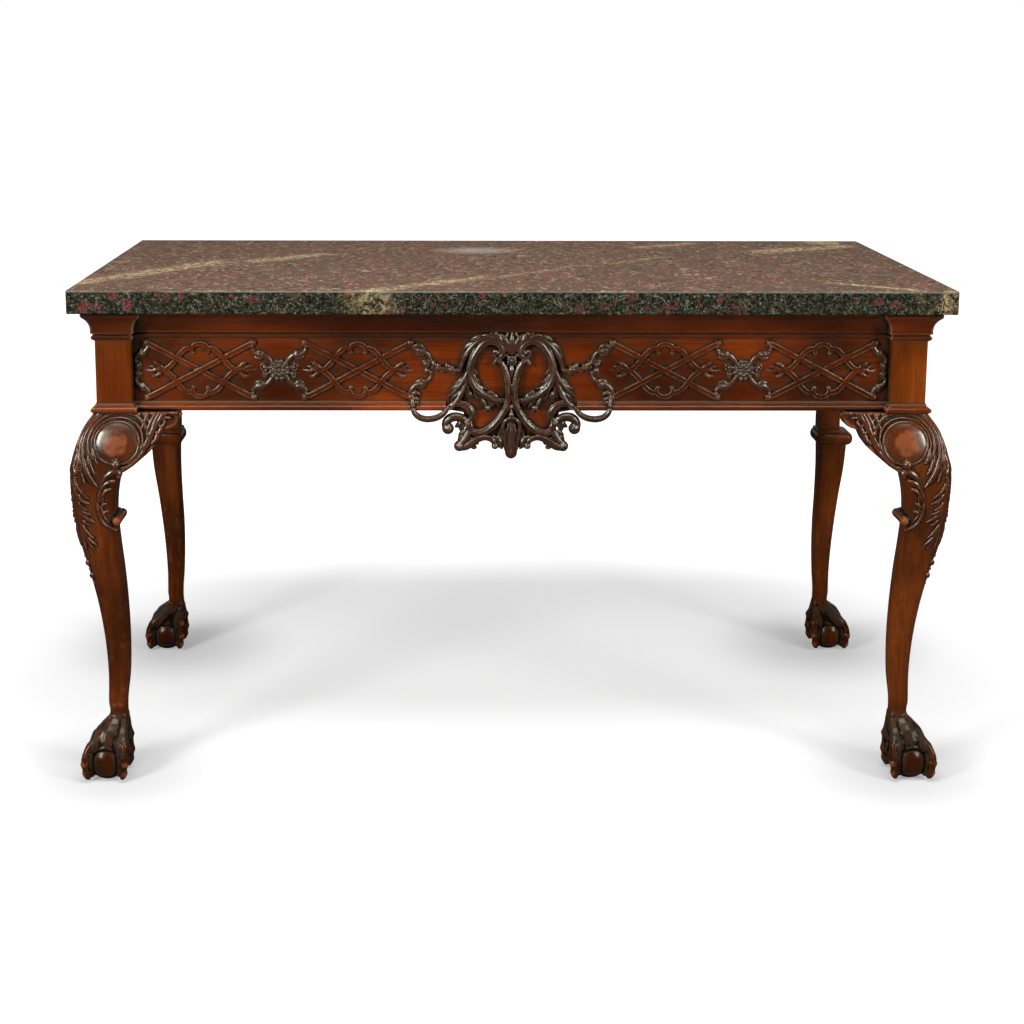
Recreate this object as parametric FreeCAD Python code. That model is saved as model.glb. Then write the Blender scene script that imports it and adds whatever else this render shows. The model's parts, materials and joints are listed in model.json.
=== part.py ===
import FreeCAD, Part
import math
import os

# Pier table: a loose stone slab on a mahogany frame with a fretted frieze, a carved
# pendant cartouche and four cabriole legs on claw-and-ball feet.
# Millimetres. X runs along the table, +Y to the wall behind it, +Z up.
# The origin is on the floor below the middle of the slab.

V = FreeCAD.Vector
OUT = "parts"

# ---- overall sizes
table_length = 1480.0        # slab, end to end
table_depth = 726.0          # slab, front to back
table_height = 864.0         # floor to the top of the slab
slab_thickness = 40.0
slab_arris = 2.5             # small round on the slab's edges
slab_overhang = 38.0         # slab edge to the faces of the leg blocks

# ---- frame
frame_height = 174.0         # rails and leg blocks, below the slab
front_block = 60.0           # square block at the head of a front leg
rear_block = 42.0            # square block at the head of a rear leg
break_depth = 22.0           # the front blocks stand this far before the frieze
rail_thickness = 22.0
rear_rail_inset = 2.0
tenon_thickness = 10.0
tenon_length = 24.0
tenon_shoulder = 14.0        # rail edge to tenon, top and bottom

# ---- mouldings
cornice_height = 51.0
cornice_projection = 19.5
cornice_nose = 10.0          # height of the rounded member under the slab
cornice_nose_round = 2.5     # how far that member's middle stands before its edges
cornice_hollow = 3.6         # depth of the cavetto
cornice_fillet = 6.2         # projection of the fillet below the cavetto
cornice_torus = 5.4          # projection of the lowest roll
base_height = 16.0
base_projection = 9.0
base_roll = 9.5              # height of the roll at the foot of the frieze

# ---- front leg: swell past the block's outer face, width and corner radius at each height;
# heights are for a rail foot at drawn_rail_foot and stretch with the leg
drawn_rail_foot = 650.0
knee_depth_share = 0.75      # the knee swells less to the front than to the side
front_stations = [
    (650.0, 4.0, 63.0, 12.0), (622.0, 25.0, 78.0, 15.0), (590.0, 38.0, 85.0, 18.0),
    (555.0, 45.5, 85.0, 19.0), (520.0, 46.5, 79.0, 19.0), (480.0, 43.5, 73.0, 18.0),
    (430.0, 34.0, 66.0, 17.0), (370.0, 20.5, 57.5, 17.0), (300.0, 7.5, 48.0, 16.0),
    (235.0, 0.0, 41.5, 15.0), (180.0, -2.5, 37.0, 14.0), (130.0, -1.5, 33.0, 14.0),
]
knee_roll_radius = 8.0
knee_roll_drawn = 468.0      # height of the roll, stretched like the stations
knee_roll_row = 5            # the station whose section carries the roll
knee_roll_reach = 12.0       # from the leg's inner face out to the far side of the roll

# ---- rear leg, below its collar
rear_stations = [
    (462.0, 19.0, 58.0, 13.0), (400.0, 15.0, 53.5, 15.0), (340.0, 6.0, 47.5, 16.0),
    (280.0, -2.0, 43.0, 15.0), (225.0, -7.0, 38.5, 14.0), (175.0, -9.0, 34.5, 14.0),
    (130.0, -8.0, 32.0, 14.0),
]
collar_height = 27.0
collar_projection = 9.0
collar_drawn = 462.0         # height of the collar's middle, stretched like the stations

# ---- claw-and-ball foot
loft_step = 33.0            # spacing of the sections a leg is drawn through
talon_sides = 8
ball_radius = 35.0
ball_centre_height = 32.0
ankle_height = 106.0
ankle_half = 15.5
web_bottom = 58.0            # lip of the web between the talons
web_half = 27.0
knuckles = [                 # outward step along each axis, height, radius
    (27.0, 76.0, 7.6), (31.5, 62.0, 6.4), (34.0, 47.0, 8.2), (34.0, 36.0, 6.6),
    (34.0, 26.0, 7.2), (29.0, 11.0, 4.6), (24.0, 3.2, 2.4),
]

# ---- knee brackets
bracket_reach = 76.0         # block's inner face to the tip of the ear
bracket_drop = 105.0         # rail's lower edge to the bracket's toe
ear_radius = 13.0
bracket_heel = 40.0          # block's inner face to the bracket's hidden end behind the knee
bracket_swell = 34.0         # how far the bracket's face comes forward to meet the knee
bracket_hollow = 0.7         # how full the face is in plan, halfway along, of that swell
bracket_relief = 1.5         # the face lies this far behind the knee's own
bracket_edge = [(24.0, 29.0), (30.0, 40.0), (35.0, 51.0), (46.0, 65.0), (58.0, 75.0), (72.0, 87.0),
                (86.0, 96.0), (96.0, 101.0)]   # from the tip and down, along the sawn edge

# ---- frieze fret
fret_relief = 5.0
fret_width = 8.0
fret_sunk = 1.6              # an under strap dips this far beside the strap that crosses it
crossing_share = 0.42        # where the loop crosses a strap, along the strap from the middle
loop_heading = 0.87          # slope of the loop's side there, in radians
knob_lift = 1.5              # knobs and buds stand this far above the straps
cartouche_half = 171.0       # middle of the frieze to the first knob of the fret
block_margin = 23.5          # last knob of the fret to the leg block
rosette_gap = 87.5           # between the knobs on either side of a rosette
side_margin = 50.0           # last knob to the leg block on an end rail
loop_share = 2.0 / 3.0       # loop's length over the unit's
lobe_radius = 13.5
lobe_share = 0.716           # height of the lobe's centre over the unit's half height
knob_radius = 6.0
bud_length = 34.0
bud_width = 22.0

# ---- rosettes and end scrolls
rosette_radius = 16.0
rosette_relief = 9.0
petal_count = 8
scroll_relief = 7.0

# ---- apron and cartouche; points are (across from the middle, height above the rail's foot)
apron_thickness = 20.0
scroll_width = 9.0
cartouche_relief = 13.0
pendant_relief = 9.0
tongue_drop = 88.0
tongue_width = 20.0
knob_drop = [(88.0, -64.0, 8.0), (108.5, -32.0, 8.5)]      # lower knob and ear knob: x, z, radius
ear_line = [(77.0, -24.0), (85.0, -17.0), (96.0, -14.5), (107.0, -18.0), (112.0, -27.0)]
ear_widths = (9.0, 10.0, 9.0)
arch_line = [(86.0, -62.0), (74.0, -57.0), (62.0, -49.0), (46.0, -46.0), (33.0, -51.0), (28.5, -60.0)]
arch_widths = (10.0, 9.0, 7.0)
web_line = [(78.0, -26.0), (82.0, -40.0), (85.0, -58.0)]
web_widths = (7.0, 9.0, 8.0)
swag_line = [(168.5, 21.0), (170.5, 7.0), (163.0, -6.0), (147.0, -12.5), (129.0, -10.0), (115.0, -1.0),
             (108.0, 8.0)]
board_line = [(0.0, -78.0), (9.0, -78.0), (14.0, -62.0), (22.0, -58.0), (32.0, -50.0), (46.0, -46.0),
              (62.0, -48.0), (80.0, -58.0), (82.0, -44.0), (75.0, -30.0), (79.0, -16.0), (82.0, -4.0),
              (104.0, 0.0)]
low_leaf_heading = -70.0     # the two leaves that hang outside the upper scroll, in degrees
outer_leaf_heading = -62.0
gap_at_cartouche = 112.0     # the base moulding stops this far each side of the middle

# ---- inside the frame
bearer_width = 60.0
bearer_thickness = 24.0
bearer_spacing = 350.0
dovetail_depth = 14.0
dovetail_flare = 6.0
glue_block_size = 18.0
glue_block_height = 110.0

# ---- derived frame planes
frame_top = table_height - slab_thickness
frame_bottom = frame_top - frame_height
half_x = table_length / 2 - slab_overhang
half_y = table_depth / 2 - slab_overhang
inner_x = half_x - front_block
inner_y = half_y - front_block
rear_inner_x = half_x - rear_block
rear_inner_y = half_y - rear_block
frieze_y = -(half_y - break_depth)
rail_back_y = frieze_y + rail_thickness
rear_rail_y = half_y - rear_rail_inset
frieze_bottom = frame_bottom + base_height
frieze_top = frame_top - cornice_height
frieze_mid = (frieze_bottom + frieze_top) / 2
diagonal = half_x - half_y   # x + y on the vertical plane that halves a front leg
leg_stretch = (frame_bottom - ankle_height) / (drawn_rail_foot - ankle_height)


def leg_height(drawn):
    # a height on the leg, stretched between the ankle and the rail's foot
    return ankle_height + (drawn - ankle_height) * leg_stretch


collar_centre = leg_height(collar_drawn)

# ---- derived places of the frets: two units and a rosette fill each half of a frieze
unit_half_height = (frieze_top - frieze_bottom) / 2 - knob_radius
lobe_rise = unit_half_height * lobe_share
front_unit_half = (inner_x - block_margin - rosette_gap - cartouche_half) / 4
inner_unit_x = cartouche_half + front_unit_half
outer_unit_x = inner_unit_x + 2 * front_unit_half + rosette_gap
side_half_run = (inner_y + rear_inner_y) / 2
side_unit_half = (side_half_run - side_margin - rosette_gap / 2) / 2
side_unit_step = side_unit_half + rosette_gap / 2

nodes = {}


def keep(name, shape):
    nodes[name] = shape


def across(shape):
    # the same piece at the other end of the table
    return shape.mirror(V(0, 0, 0), V(1, 0, 0))


def keep_pair(name, right):
    keep(name + "_right", right)
    keep(name + "_left", across(right))


def box(x0, x1, y0, y1, z0, z1):
    low = V(min(x0, x1), min(y0, y1), min(z0, z1))
    return Part.makeBox(abs(x1 - x0), abs(y1 - y0), abs(z1 - z0), low)


def fused(shapes):
    whole = shapes[0]
    if len(shapes) > 1:
        whole = whole.fuse(shapes[1:])
    return whole.removeSplitter()


def largest(shape):
    # the piece itself, without the slivers a fitted cut leaves
    return max(shape.Solids, key=lambda solid: solid.Volume)


def line(a, b):
    return Part.LineSegment(a, b).toShape()


def arc(a, middle, b):
    return Part.Arc(a, middle, b).toShape()


def arcs(points):
    # edges through the points, an arc for each three; an even count ends in a straight edge
    edges = []
    for index in range(0, len(points) - 2, 2):
        a, middle, b = points[index:index + 3]
        bent = (middle - a).cross(b - middle).Length > 1e-3
        edges.append(arc(a, middle, b) if bent else line(a, b))
    if len(points) % 2 == 0:
        edges.append(line(points[-2], points[-1]))
    return edges


def evened(stations, key, step):
    # stations at equal steps of the value in column key, eased smoothly between the given ones
    rows = sorted(stations, key=lambda row: row[key])
    slopes = []
    for index, row in enumerate(rows):
        before, after = rows[max(index - 1, 0)], rows[min(index + 1, len(rows) - 1)]
        run = after[key] - before[key]
        slopes.append([(b - a) / run for a, b in zip(before, after)])
    low, high = rows[0][key], rows[-1][key]
    count = max(2, round((high - low) / step))
    made = []
    for number in range(count + 1):
        at = low + (high - low) * number / count
        index = max(i for i in range(len(rows) - 1) if rows[i][key] <= at + 1e-9)
        gap = rows[index + 1][key] - rows[index][key]
        t = (at - rows[index][key]) / gap
        weights = (2 * t**3 - 3 * t**2 + 1, (t**3 - 2 * t**2 + t) * gap,
                   3 * t**2 - 2 * t**3, (t**3 - t**2) * gap)
        pairs = zip(rows[index], slopes[index], rows[index + 1], slopes[index + 1])
        made.append([sum(w * v for w, v in zip(weights, pair)) for pair in pairs])
    return made


# ---- slab

def marble_slab():
    slab = box(-table_length / 2, table_length / 2, -table_depth / 2, table_depth / 2,
               frame_top, table_height)
    return slab.makeFillet(slab_arris, slab.Edges)


# ---- legs

def rounded_square(x, y, half_wide, half_deep, radius, height):
    # a flat wire of four sides and four corner arcs
    radius = min(radius, half_wide * 0.98, half_deep * 0.98)
    slack = radius * (1 - math.sqrt(0.5))
    edges = []
    corners = [(1, 1), (-1, 1), (-1, -1), (1, -1)]
    for index, (a, b) in enumerate(corners):
        first = V(x + a * half_wide, y + b * (half_deep - radius), height)
        last = V(x + a * (half_wide - radius), y + b * half_deep, height)
        if a * b < 0:
            first, last = last, first
        middle = V(x + a * (half_wide - slack), y + b * (half_deep - slack), height)
        edges.append(arc(first, middle, last))
        c, d = corners[(index + 1) % 4]
        if c * d > 0:
            follow = V(x + c * half_wide, y + d * (half_deep - radius), height)
        else:
            follow = V(x + c * (half_wide - radius), y + d * half_deep, height)
        edges.append(line(last, follow))
    return Part.Wire(edges)


def leg_shaft(stations, depth_share, front):
    # the cabriole curve: one loft from the block down to the ankle and over the ball
    last = stations[-1]
    lean = last[1] - last[2] / 2
    flare = [(ankle_height, lean, ankle_half), (90.0, lean * 0.7, ankle_half + 2.5),
             (74.0, lean * 0.25, ankle_half + 7.5), (web_bottom, 0.0, web_half)]
    rows = [(height, shift + half, 2 * half, half * 0.85) for height, shift, half in flare]
    rows += [(leg_height(height), swell, width, radius) for height, swell, width, radius in stations]
    wires = []
    for height, swell, width, radius in evened(rows, 0, loft_step):
        outer_x = half_x + swell
        outer_y = half_y + (swell * depth_share if swell > 0 else swell)
        inner_x_here = half_x + swell - width
        inner_y_here = half_y + swell - width
        wires.append(rounded_square((outer_x + inner_x_here) / 2, front * (outer_y + inner_y_here) / 2,
                                    (outer_x - inner_x_here) / 2, (outer_y - inner_y_here) / 2,
                                    radius, height))
    return Part.makeLoft(wires, True, True)


def ring(x, y, height, radius):
    corners = []
    for index in range(talon_sides):
        angle = 2 * math.pi * (index + 0.5) / talon_sides
        corners.append(V(x + radius * math.cos(angle), y + radius * math.sin(angle), height))
    return Part.makePolygon(corners + [corners[0]])


def talon(step_x, step_y, front, root):
    # a jointed toe: level rings down a bent line, widest at the knuckles
    wires = [ring(root.x, root.y, ankle_height + 12.0, 5.0)]
    for step, height, radius in knuckles:
        wires.append(ring(half_x + step_x * step, front * half_y + step_y * step, height, radius))
    return Part.makeLoft(wires, True, True)


def foot(front, ankle_shift):
    ball = Part.makeSphere(ball_radius, V(half_x, front * half_y, ball_centre_height))
    pieces = [ball]
    for step_x in (1, -1):
        for step_y in (1, -1):
            root = V(half_x + ankle_shift + step_x * ankle_half * 0.55,
                     front * (half_y + ankle_shift) + step_y * ankle_half * 0.55, 0)
            pieces.append(talon(step_x, step_y, front, root))
    below = box(half_x - 90, half_x + 90, front * half_y - 90, front * half_y + 90, -60, 0)
    return pieces, below


def knee_rolls(front):
    # the leg's inner scroll ends in a small roll across each inner face
    swell, width = front_stations[knee_roll_row][1:3]
    height = leg_height(knee_roll_drawn)
    inner = half_x + swell - width
    centre_x = inner + knee_roll_radius - knee_roll_reach
    front_y = -(half_y + swell * knee_depth_share) + 2.0
    back_y = -(half_y + swell - width)
    length = abs(front_y - back_y)
    roll = Part.makeCylinder(knee_roll_radius, length, V(centre_x, front_y, height), V(0, 1, 0))
    centre_y = -(half_y + swell - width) - knee_roll_radius + knee_roll_reach
    side_x = half_x + swell - 2.0
    other = Part.makeCylinder(knee_roll_radius, side_x - inner, V(inner, centre_y, height), V(1, 0, 0))
    return [roll, other]


def front_leg():
    block = box(inner_x, half_x, -half_y, -inner_y, frame_bottom, frame_top)
    last = front_stations[-1]
    shift = last[1] - last[2] / 2 + 1.5
    toes, below = foot(-1, shift)
    leg = fused([block, leg_shaft(front_stations, knee_depth_share, -1)] + toes + knee_rolls(-1))
    return leg.cut(below)


def rear_leg():
    block = box(rear_inner_x, half_x, rear_inner_y, half_y, collar_centre, frame_top)
    last = rear_stations[-1]
    shift = last[1] - last[2] / 2 + 1.5
    toes, below = foot(1, shift)
    top = rear_stations[0]
    outer = half_x + top[1] + collar_projection
    inner = half_x + top[1] - top[2] - collar_projection
    offset = half_y - half_x
    collar = box(inner, outer, inner + offset, outer + offset,
                 collar_centre - collar_height / 2, collar_centre + collar_height / 2)
    collar = collar.makeFillet(collar_height / 2 - 1.0, collar.Edges)
    leg = fused([block, leg_shaft(rear_stations, 1.0, 1), collar] + toes)
    return leg.cut(below)


# ---- rails

def rail_tenon(x0, x1, y0, y1):
    return box(x0, x1, y0, y1, frame_bottom + tenon_shoulder, frame_top - tenon_shoulder)


def front_rail():
    rail = box(-inner_x, inner_x, frieze_y, rail_back_y, frame_bottom, frame_top)
    middle = (frieze_y + rail_back_y) / 2
    tenon = rail_tenon(-inner_x - tenon_length, inner_x + tenon_length,
                       middle - tenon_thickness / 2, middle + tenon_thickness / 2)
    return fused([rail, tenon])


def rear_rail():
    rail = box(-rear_inner_x, rear_inner_x, rear_rail_y - rail_thickness, rear_rail_y,
               frame_bottom, frame_top)
    middle = rear_rail_y - rail_thickness / 2
    reach = rear_inner_x + tenon_length - tenon_thickness
    tenon = rail_tenon(-reach, reach, middle - tenon_thickness / 2, middle + tenon_thickness / 2)
    return fused([rail, tenon])


def side_rail():
    rail = box(half_x - rail_thickness, half_x, -inner_y, rear_inner_y, frame_bottom, frame_top)
    middle = half_x - rail_thickness / 2
    tenon = rail_tenon(middle - tenon_thickness / 2, middle + tenon_thickness / 2,
                       -inner_y - tenon_length, rear_inner_y + tenon_length - tenon_thickness)
    return fused([rail, tenon])


# ---- mouldings, drawn as (projection, height) and run along X before they are placed

def cornice_profile():
    # from the wall: a roll, a quirk, a fillet, the cavetto and the rounded nose under the slab
    low = frame_top - cornice_height
    roll_in, roll_out = cornice_torus * 0.5, cornice_torus
    roll_top, fillet_low, cove_low = low + 10.0, low + 13.0, low + 15.5
    nose_low = frame_top - cornice_nose
    nose_in = cornice_projection - cornice_nose_round
    start, roll_start = V(0, 0, low), V(0, -roll_in, low + 2.0)
    roll_mid, roll_end = V(0, -roll_out, low + 6.0), V(0, -roll_in, roll_top)
    quirk, fillet = V(0, -roll_in, fillet_low), V(0, -cornice_fillet, fillet_low)
    cove_start, cove_end = V(0, -cornice_fillet, cove_low), V(0, -nose_in, nose_low)
    rise = cove_end - cove_start
    inward = V(0, rise.z, -rise.y).normalize()
    cove_mid = (cove_start + cove_end) * 0.5 + inward * cornice_hollow
    nose_mid = V(0, -cornice_projection, frame_top - cornice_nose / 2)
    nose_end, wall = V(0, -nose_in, frame_top), V(0, 0, frame_top)
    return Part.Wire([line(start, roll_start), arc(roll_start, roll_mid, roll_end), line(roll_end, quirk),
                      line(quirk, fillet), line(fillet, cove_start), arc(cove_start, cove_mid, cove_end),
                      arc(cove_end, nose_mid, nose_end), line(nose_end, wall), line(wall, start)])


def base_profile():
    out = base_projection
    roll_in = out - 3.5
    roll_top = frame_bottom + base_roll
    top = frame_bottom + base_height
    start, foot_out = V(0, 0, frame_bottom), V(0, -roll_in, frame_bottom)
    roll_mid = V(0, -out, frame_bottom + base_roll / 2)
    roll_end, quirk = V(0, -roll_in, roll_top), V(0, -roll_in + 1.5, roll_top)
    cove_mid, cove_end = V(0, -2.4, roll_top + 2.8), V(0, -1.5, top - 1.6)
    fillet, wall = V(0, -1.5, top), V(0, 0, top)
    return Part.Wire([line(start, foot_out), arc(foot_out, roll_mid, roll_end), line(roll_end, quirk),
                      arc(quirk, cove_mid, cove_end), line(cove_end, fillet), line(fillet, wall),
                      line(wall, start)])


def strip(profile, length, start_mitre, end_mitre):
    # a moulding from x = 0 to x = length on the wall y = 0; a mitre of 1 runs out past
    # an outer corner, -1 stops short in an inner corner, 0 is cut square
    reach = 60.0
    wire = profile.copy()
    wire.translate(V(-reach, 0, 0))
    bar = Part.Face(wire).extrude(V(length + 2 * reach, 0, 0))
    high = frame_top + reach
    low = frame_bottom - reach
    for at, side, mitre in ((0.0, -1, start_mitre), (length, 1, end_mitre)):
        corners = [V(at - side * mitre, 1, low), V(at + side * mitre * reach, -reach, low),
                   V(at + side * 3 * reach, -reach, low), V(at + side * 3 * reach, 1, low)]
        wedge = Part.Face(Part.makePolygon(corners + [corners[0]])).extrude(V(0, 0, high - low))
        bar = bar.cut(wedge)
    return bar


def placed(shape, x, y, turn):
    moved = shape.copy()
    moved.rotate(V(0, 0, 0), V(0, 0, 1), turn)
    moved.translate(V(x, y, 0))
    return moved


def run_of_moulding(name, profile, middle_gap):
    front_length = 2 * inner_x
    if middle_gap > 0:
        part_length = inner_x - middle_gap
        right = placed(strip(profile, part_length, 0, -1), middle_gap, frieze_y, 0)
        keep_pair(name + "_front", right)
    else:
        keep(name + "_front", placed(strip(profile, front_length, -1, -1), -inner_x, frieze_y, 0))
    keep_pair(name + "_block", placed(strip(profile, front_block, 1, 1), inner_x, -half_y, 0))
    keep_pair(name + "_return", placed(strip(profile, break_depth, -1, 1), inner_x, frieze_y, -90))
    keep_pair(name + "_side", placed(strip(profile, 2 * half_y, 1, 0), half_x, -half_y, 90))


# ---- knee brackets

def knee_curve(x0, x1):
    # all that lies behind the front of the knee, seen from the side
    rows = [(leg_height(height), swell) for height, swell, width, radius in front_stations]
    edge = [V(x0, -(half_y + knee_depth_share * swell - bracket_relief), z)
            for z, swell in evened(rows, 0, loft_step)]
    low, high = V(x0, rail_back_y, edge[0].z), V(x0, rail_back_y, edge[-1].z)
    return Part.Face(Part.makePolygon([low] + edge + [high, low])).extrude(V(x1 - x0, 0, 0))


def bracket(leg):
    # sawn to a scrolled outline from the front, to a curve in plan and to the knee's own
    # curve from the side, then fitted to the leg
    tip = inner_x - bracket_reach
    toe = frame_bottom - bracket_drop
    ear_x, ear_z = tip + ear_radius, frame_bottom - ear_radius - 1.0
    heel_x = inner_x + bracket_heel
    back = V(heel_x, 0, frame_bottom)
    edge = [V(tip, 0, ear_z), V(ear_x - ear_radius * 0.7, 0, ear_z - ear_radius * 0.7),
            V(ear_x, 0, ear_z - ear_radius)]
    edge += [V(tip + x, 0, frame_bottom - drop) for x, drop in bracket_edge]
    outline = Part.Wire([line(V(tip, 0, frame_bottom), edge[0])] + arcs(edge)
                        + [line(edge[-1], V(heel_x, 0, toe)), line(V(heel_x, 0, toe), back),
                           line(back, V(tip, 0, frame_bottom))])
    side_view = Part.Face(outline).extrude(V(0, -2 * half_y, 0))
    front = [V(tip - 5, -half_y + 6, 0), V(inner_x - 8, -half_y - bracket_swell * bracket_hollow, 0),
             V(heel_x, -half_y - bracket_swell, 0)]
    low_left, low_right = V(tip - 5, rail_back_y, 0), V(heel_x, rail_back_y, 0)
    plan = Part.Wire([arc(*front), line(front[-1], low_right), line(low_right, low_left),
                      line(low_left, front[0])])
    plan_view = Part.Face(plan).extrude(V(0, 0, frame_top))
    sawn = side_view.common(plan_view).common(knee_curve(tip - 5, heel_x + 5))
    return largest(sawn.cut(leg))


def side_bracket(leg):
    # the same bracket on the end rail, turned over the leg's diagonal
    turned_leg = leg.mirror(V(diagonal / 2, diagonal / 2, 0), V(1, 1, 0))
    return bracket(turned_leg).mirror(V(diagonal / 2, diagonal / 2, 0), V(1, 1, 0))


# ---- carved and fretted ornament, laid flat on the frieze and raised towards -Y

def ribbon(points, widths, relief):
    # a strap that follows a smooth line in X and Z, with its own width at each end and middle
    path = Part.BSplineCurve()
    path.interpolate([V(x, 0, z) for x, z in points])
    first, last = path.FirstParameter, path.LastParameter
    count = 2 * (len(points) - 1)
    near, far = [], []
    for index in range(count + 1):
        share = index / count
        at = first + (last - first) * share
        tangent = path.tangent(at)[0]
        side = 2 * share - 1
        width = widths[1] + (widths[0 if side < 0 else 2] - widths[1]) * abs(side)
        normal = V(-tangent.z, 0, tangent.x) * (width / 2)
        near.append(path.value(at) + normal)
        far.append(path.value(at) - normal)
    start_cap = path.value(first) - path.tangent(first)[0] * (widths[0] / 2)
    end_cap = path.value(last) + path.tangent(last)[0] * (widths[2] / 2)
    outline = near + [end_cap] + far[::-1] + [start_cap, near[0]]
    return Part.Face(Part.makePolygon(outline)).extrude(V(0, -relief, 0))


def strap(x0, z0, x1, z1, width, relief):
    along = V(x1 - x0, 0, z1 - z0).normalize()
    normal = V(-along.z, 0, along.x) * (width / 2)
    a, b = V(x0, 0, z0), V(x1, 0, z1)
    corners = [a + normal, b + normal, b - normal, a - normal, a + normal]
    return Part.Face(Part.makePolygon(corners)).extrude(V(0, -relief, 0))


def boss(x, z, radius, relief):
    # a low button with a sloping edge
    return Part.makeCone(radius, radius * 0.6, relief, V(x, 0, z), V(0, -1, 0))


def scalloped(radius, lobes, relief):
    # a disc with a lobed edge
    edges = []
    for index in range(lobes):
        angles = [2 * math.pi * (index + share) / lobes for share in (0, 0.5, 1)]
        reach = [radius * 0.82, radius, radius * 0.82]
        edges.append(arc(*[V(r * math.cos(t), 0, r * math.sin(t)) for r, t in zip(reach, angles)]))
    return Part.Face(Part.Wire(edges)).extrude(V(0, -relief, 0))


def leaf(x, z, length, width, heading, relief):
    # a pointed leaf from its root at x, z
    turn = math.radians(heading)
    along = V(math.cos(turn), 0, math.sin(turn))
    side = V(-along.z, 0, along.x)
    root = V(x, 0, z)
    tip = root + along * length
    belly = root + along * (length * 0.42)
    swell = side * (width / 2)
    wire = Part.Wire([arc(root, belly + swell, tip), arc(tip, belly - swell, root)])
    return Part.Face(wire).extrude(V(0, -relief, 0))


def loop_half(loop_reach):
    # upper half of the ogee loop: tip, shoulder, cusp, and the round lobe at the top
    shoulder = [(-loop_reach, 0.0), (-loop_reach + 11, 14.0), (-loop_reach + 24, 29.5),
                (-loop_reach + 35, 36.5), (-lobe_radius - 1.0, lobe_rise)]
    sweep = ribbon(shoulder, (fret_width, fret_width, fret_width), fret_relief)
    ring = Part.makeCylinder(lobe_radius + fret_width / 2, fret_relief, V(0, 0, lobe_rise), V(0, -1, 0))
    hole = Part.makeCylinder(lobe_radius - fret_width / 2, fret_relief, V(0, 0, lobe_rise), V(0, -1, 0))
    lobe = ring.cut(hole).common(box(-lobe_radius * 2, lobe_radius * 2, -fret_relief, 0,
                                     lobe_rise, lobe_rise + lobe_radius * 2))
    return [sweep, across(sweep), lobe]


def fret_unit(half_length):
    # two crossed straps and the loop, woven over and under one another
    a, b = half_length, unit_half_height
    loop_reach = half_length * loop_share
    falling = strap(-a, b, a, -b, fret_width, fret_relief)
    rising = strap(-a, -b, a, b, fret_width, fret_relief)
    upper = loop_half(loop_reach)
    lower = [piece.mirror(V(0, 0, 0), V(0, 0, 1)) for piece in upper]
    pieces = [falling, rising] + upper + lower
    bud_relief = fret_relief + knob_lift
    for sx, heading in ((-1, 180), (1, 0)):
        pieces.append(leaf(sx * (loop_reach - 3), 0, bud_length, bud_width, heading, bud_relief))
        for sz in (-1, 1):
            pieces.append(boss(sx * a, sz * b, knob_radius, bud_relief))
    unit = fused(pieces)
    slope = math.atan2(b, a)
    unit = unit.cut(dips(0, 0, slope, 2 * slope))
    crossing_x, crossing_z = a * crossing_share, b * crossing_share
    for side in (-1, 1):
        unit = unit.cut(dips(side * crossing_x, side * crossing_z, -loop_heading, loop_heading + slope))
        unit = unit.cut(dips(side * crossing_x, -side * crossing_z, -slope, loop_heading - slope))
    return unit


def dips(x, z, heading, angle_between):
    # the two shallow cuts in the lower strap, one each side of the strap that passes over it
    start = fret_width / 2 / math.sin(angle_between)
    length = fret_width * 0.7
    cuts = []
    for side in (-1, 1):
        reach = side * (start + length / 2)
        block = box(-length / 2, length / 2, -2 * fret_relief, fret_sunk - fret_relief,
                    -fret_width / 2, fret_width / 2)
        block.rotate(V(0, 0, 0), V(0, -1, 0), math.degrees(heading))
        block.translate(V(x + reach * math.cos(heading), 0, z + reach * math.sin(heading)))
        cuts.append(block)
    return Part.makeCompound(cuts)


def on_frieze(shape, x):
    moved = shape.copy()
    moved.translate(V(x, frieze_y, frieze_mid))
    return moved


def on_side(shape, y):
    # the same ornament on the right-hand end rail, turned to face +X
    moved = shape.copy()
    moved.rotate(V(0, 0, 0), V(0, 0, 1), 90)
    moved.translate(V(half_x, y + (rear_inner_y - inner_y) / 2, frieze_mid))
    return moved


def rosette():
    # a petalled boss between two small volutes, with four scrolled arms
    pieces = [boss(0, 0, rosette_radius * 0.6, rosette_relief),
              scalloped(rosette_radius, petal_count, rosette_relief - 3.0)]
    for sx in (-1, 1):
        pieces.append(boss(sx * (rosette_radius + 5.5), 4.0, 7.0, scroll_relief - 1.0))
        for sz in (-1, 1):
            arm = ribbon([(sx * 12, sz * 9), (sx * 16, sz * 19), (sx * 24, sz * 26), (sx * 33, sz * 30),
                          (sx * 38, sz * 38)], (7.0, 8.0, 5.0), scroll_relief - 2.0)
            pieces.append(arm)
    return fused(pieces)


def end_scroll():
    # a C scroll against the block, in two halves that meet at a pair of small volutes;
    # x is counted from the block's face
    pieces = []
    for sz in (-1, 1):
        pieces.append(ribbon([(21.5, sz * 37), (18, sz * 30.5), (11, sz * 26.5), (5.5, sz * 20),
                              (5.5, sz * 11)], (6.0, 7.0, 6.0), scroll_relief - 1.0))
        pieces.append(boss(7.5, sz * 6.5, 7.0, scroll_relief))
    return fused(pieces)


def inner_scroll():
    # the leafy C scrolls at the cartouche's side and the stalk across to it, from the middle line
    pieces = [ribbon([(169, 118), (163, 110), (153, 104), (143, 99), (137.5, 88), (138.5, 77)],
                     (8.0, 9.0, 8.0), scroll_relief),
              ribbon([(138.5, 75), (138, 62), (146, 51), (160, 46), (170.5, 36), (169.5, 26)],
                     (8.0, 9.0, 8.0), scroll_relief),
              boss(145, 78, 8.0, scroll_relief + 1.0),
              ribbon([(141, 76), (129, 80), (119, 75), (106, 73), (88, 70)], (10.0, 8.0, 9.0),
                     scroll_relief - 1.0)]
    return fused(pieces)


# ---- apron: plain board below the rail, and the carving over it

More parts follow.
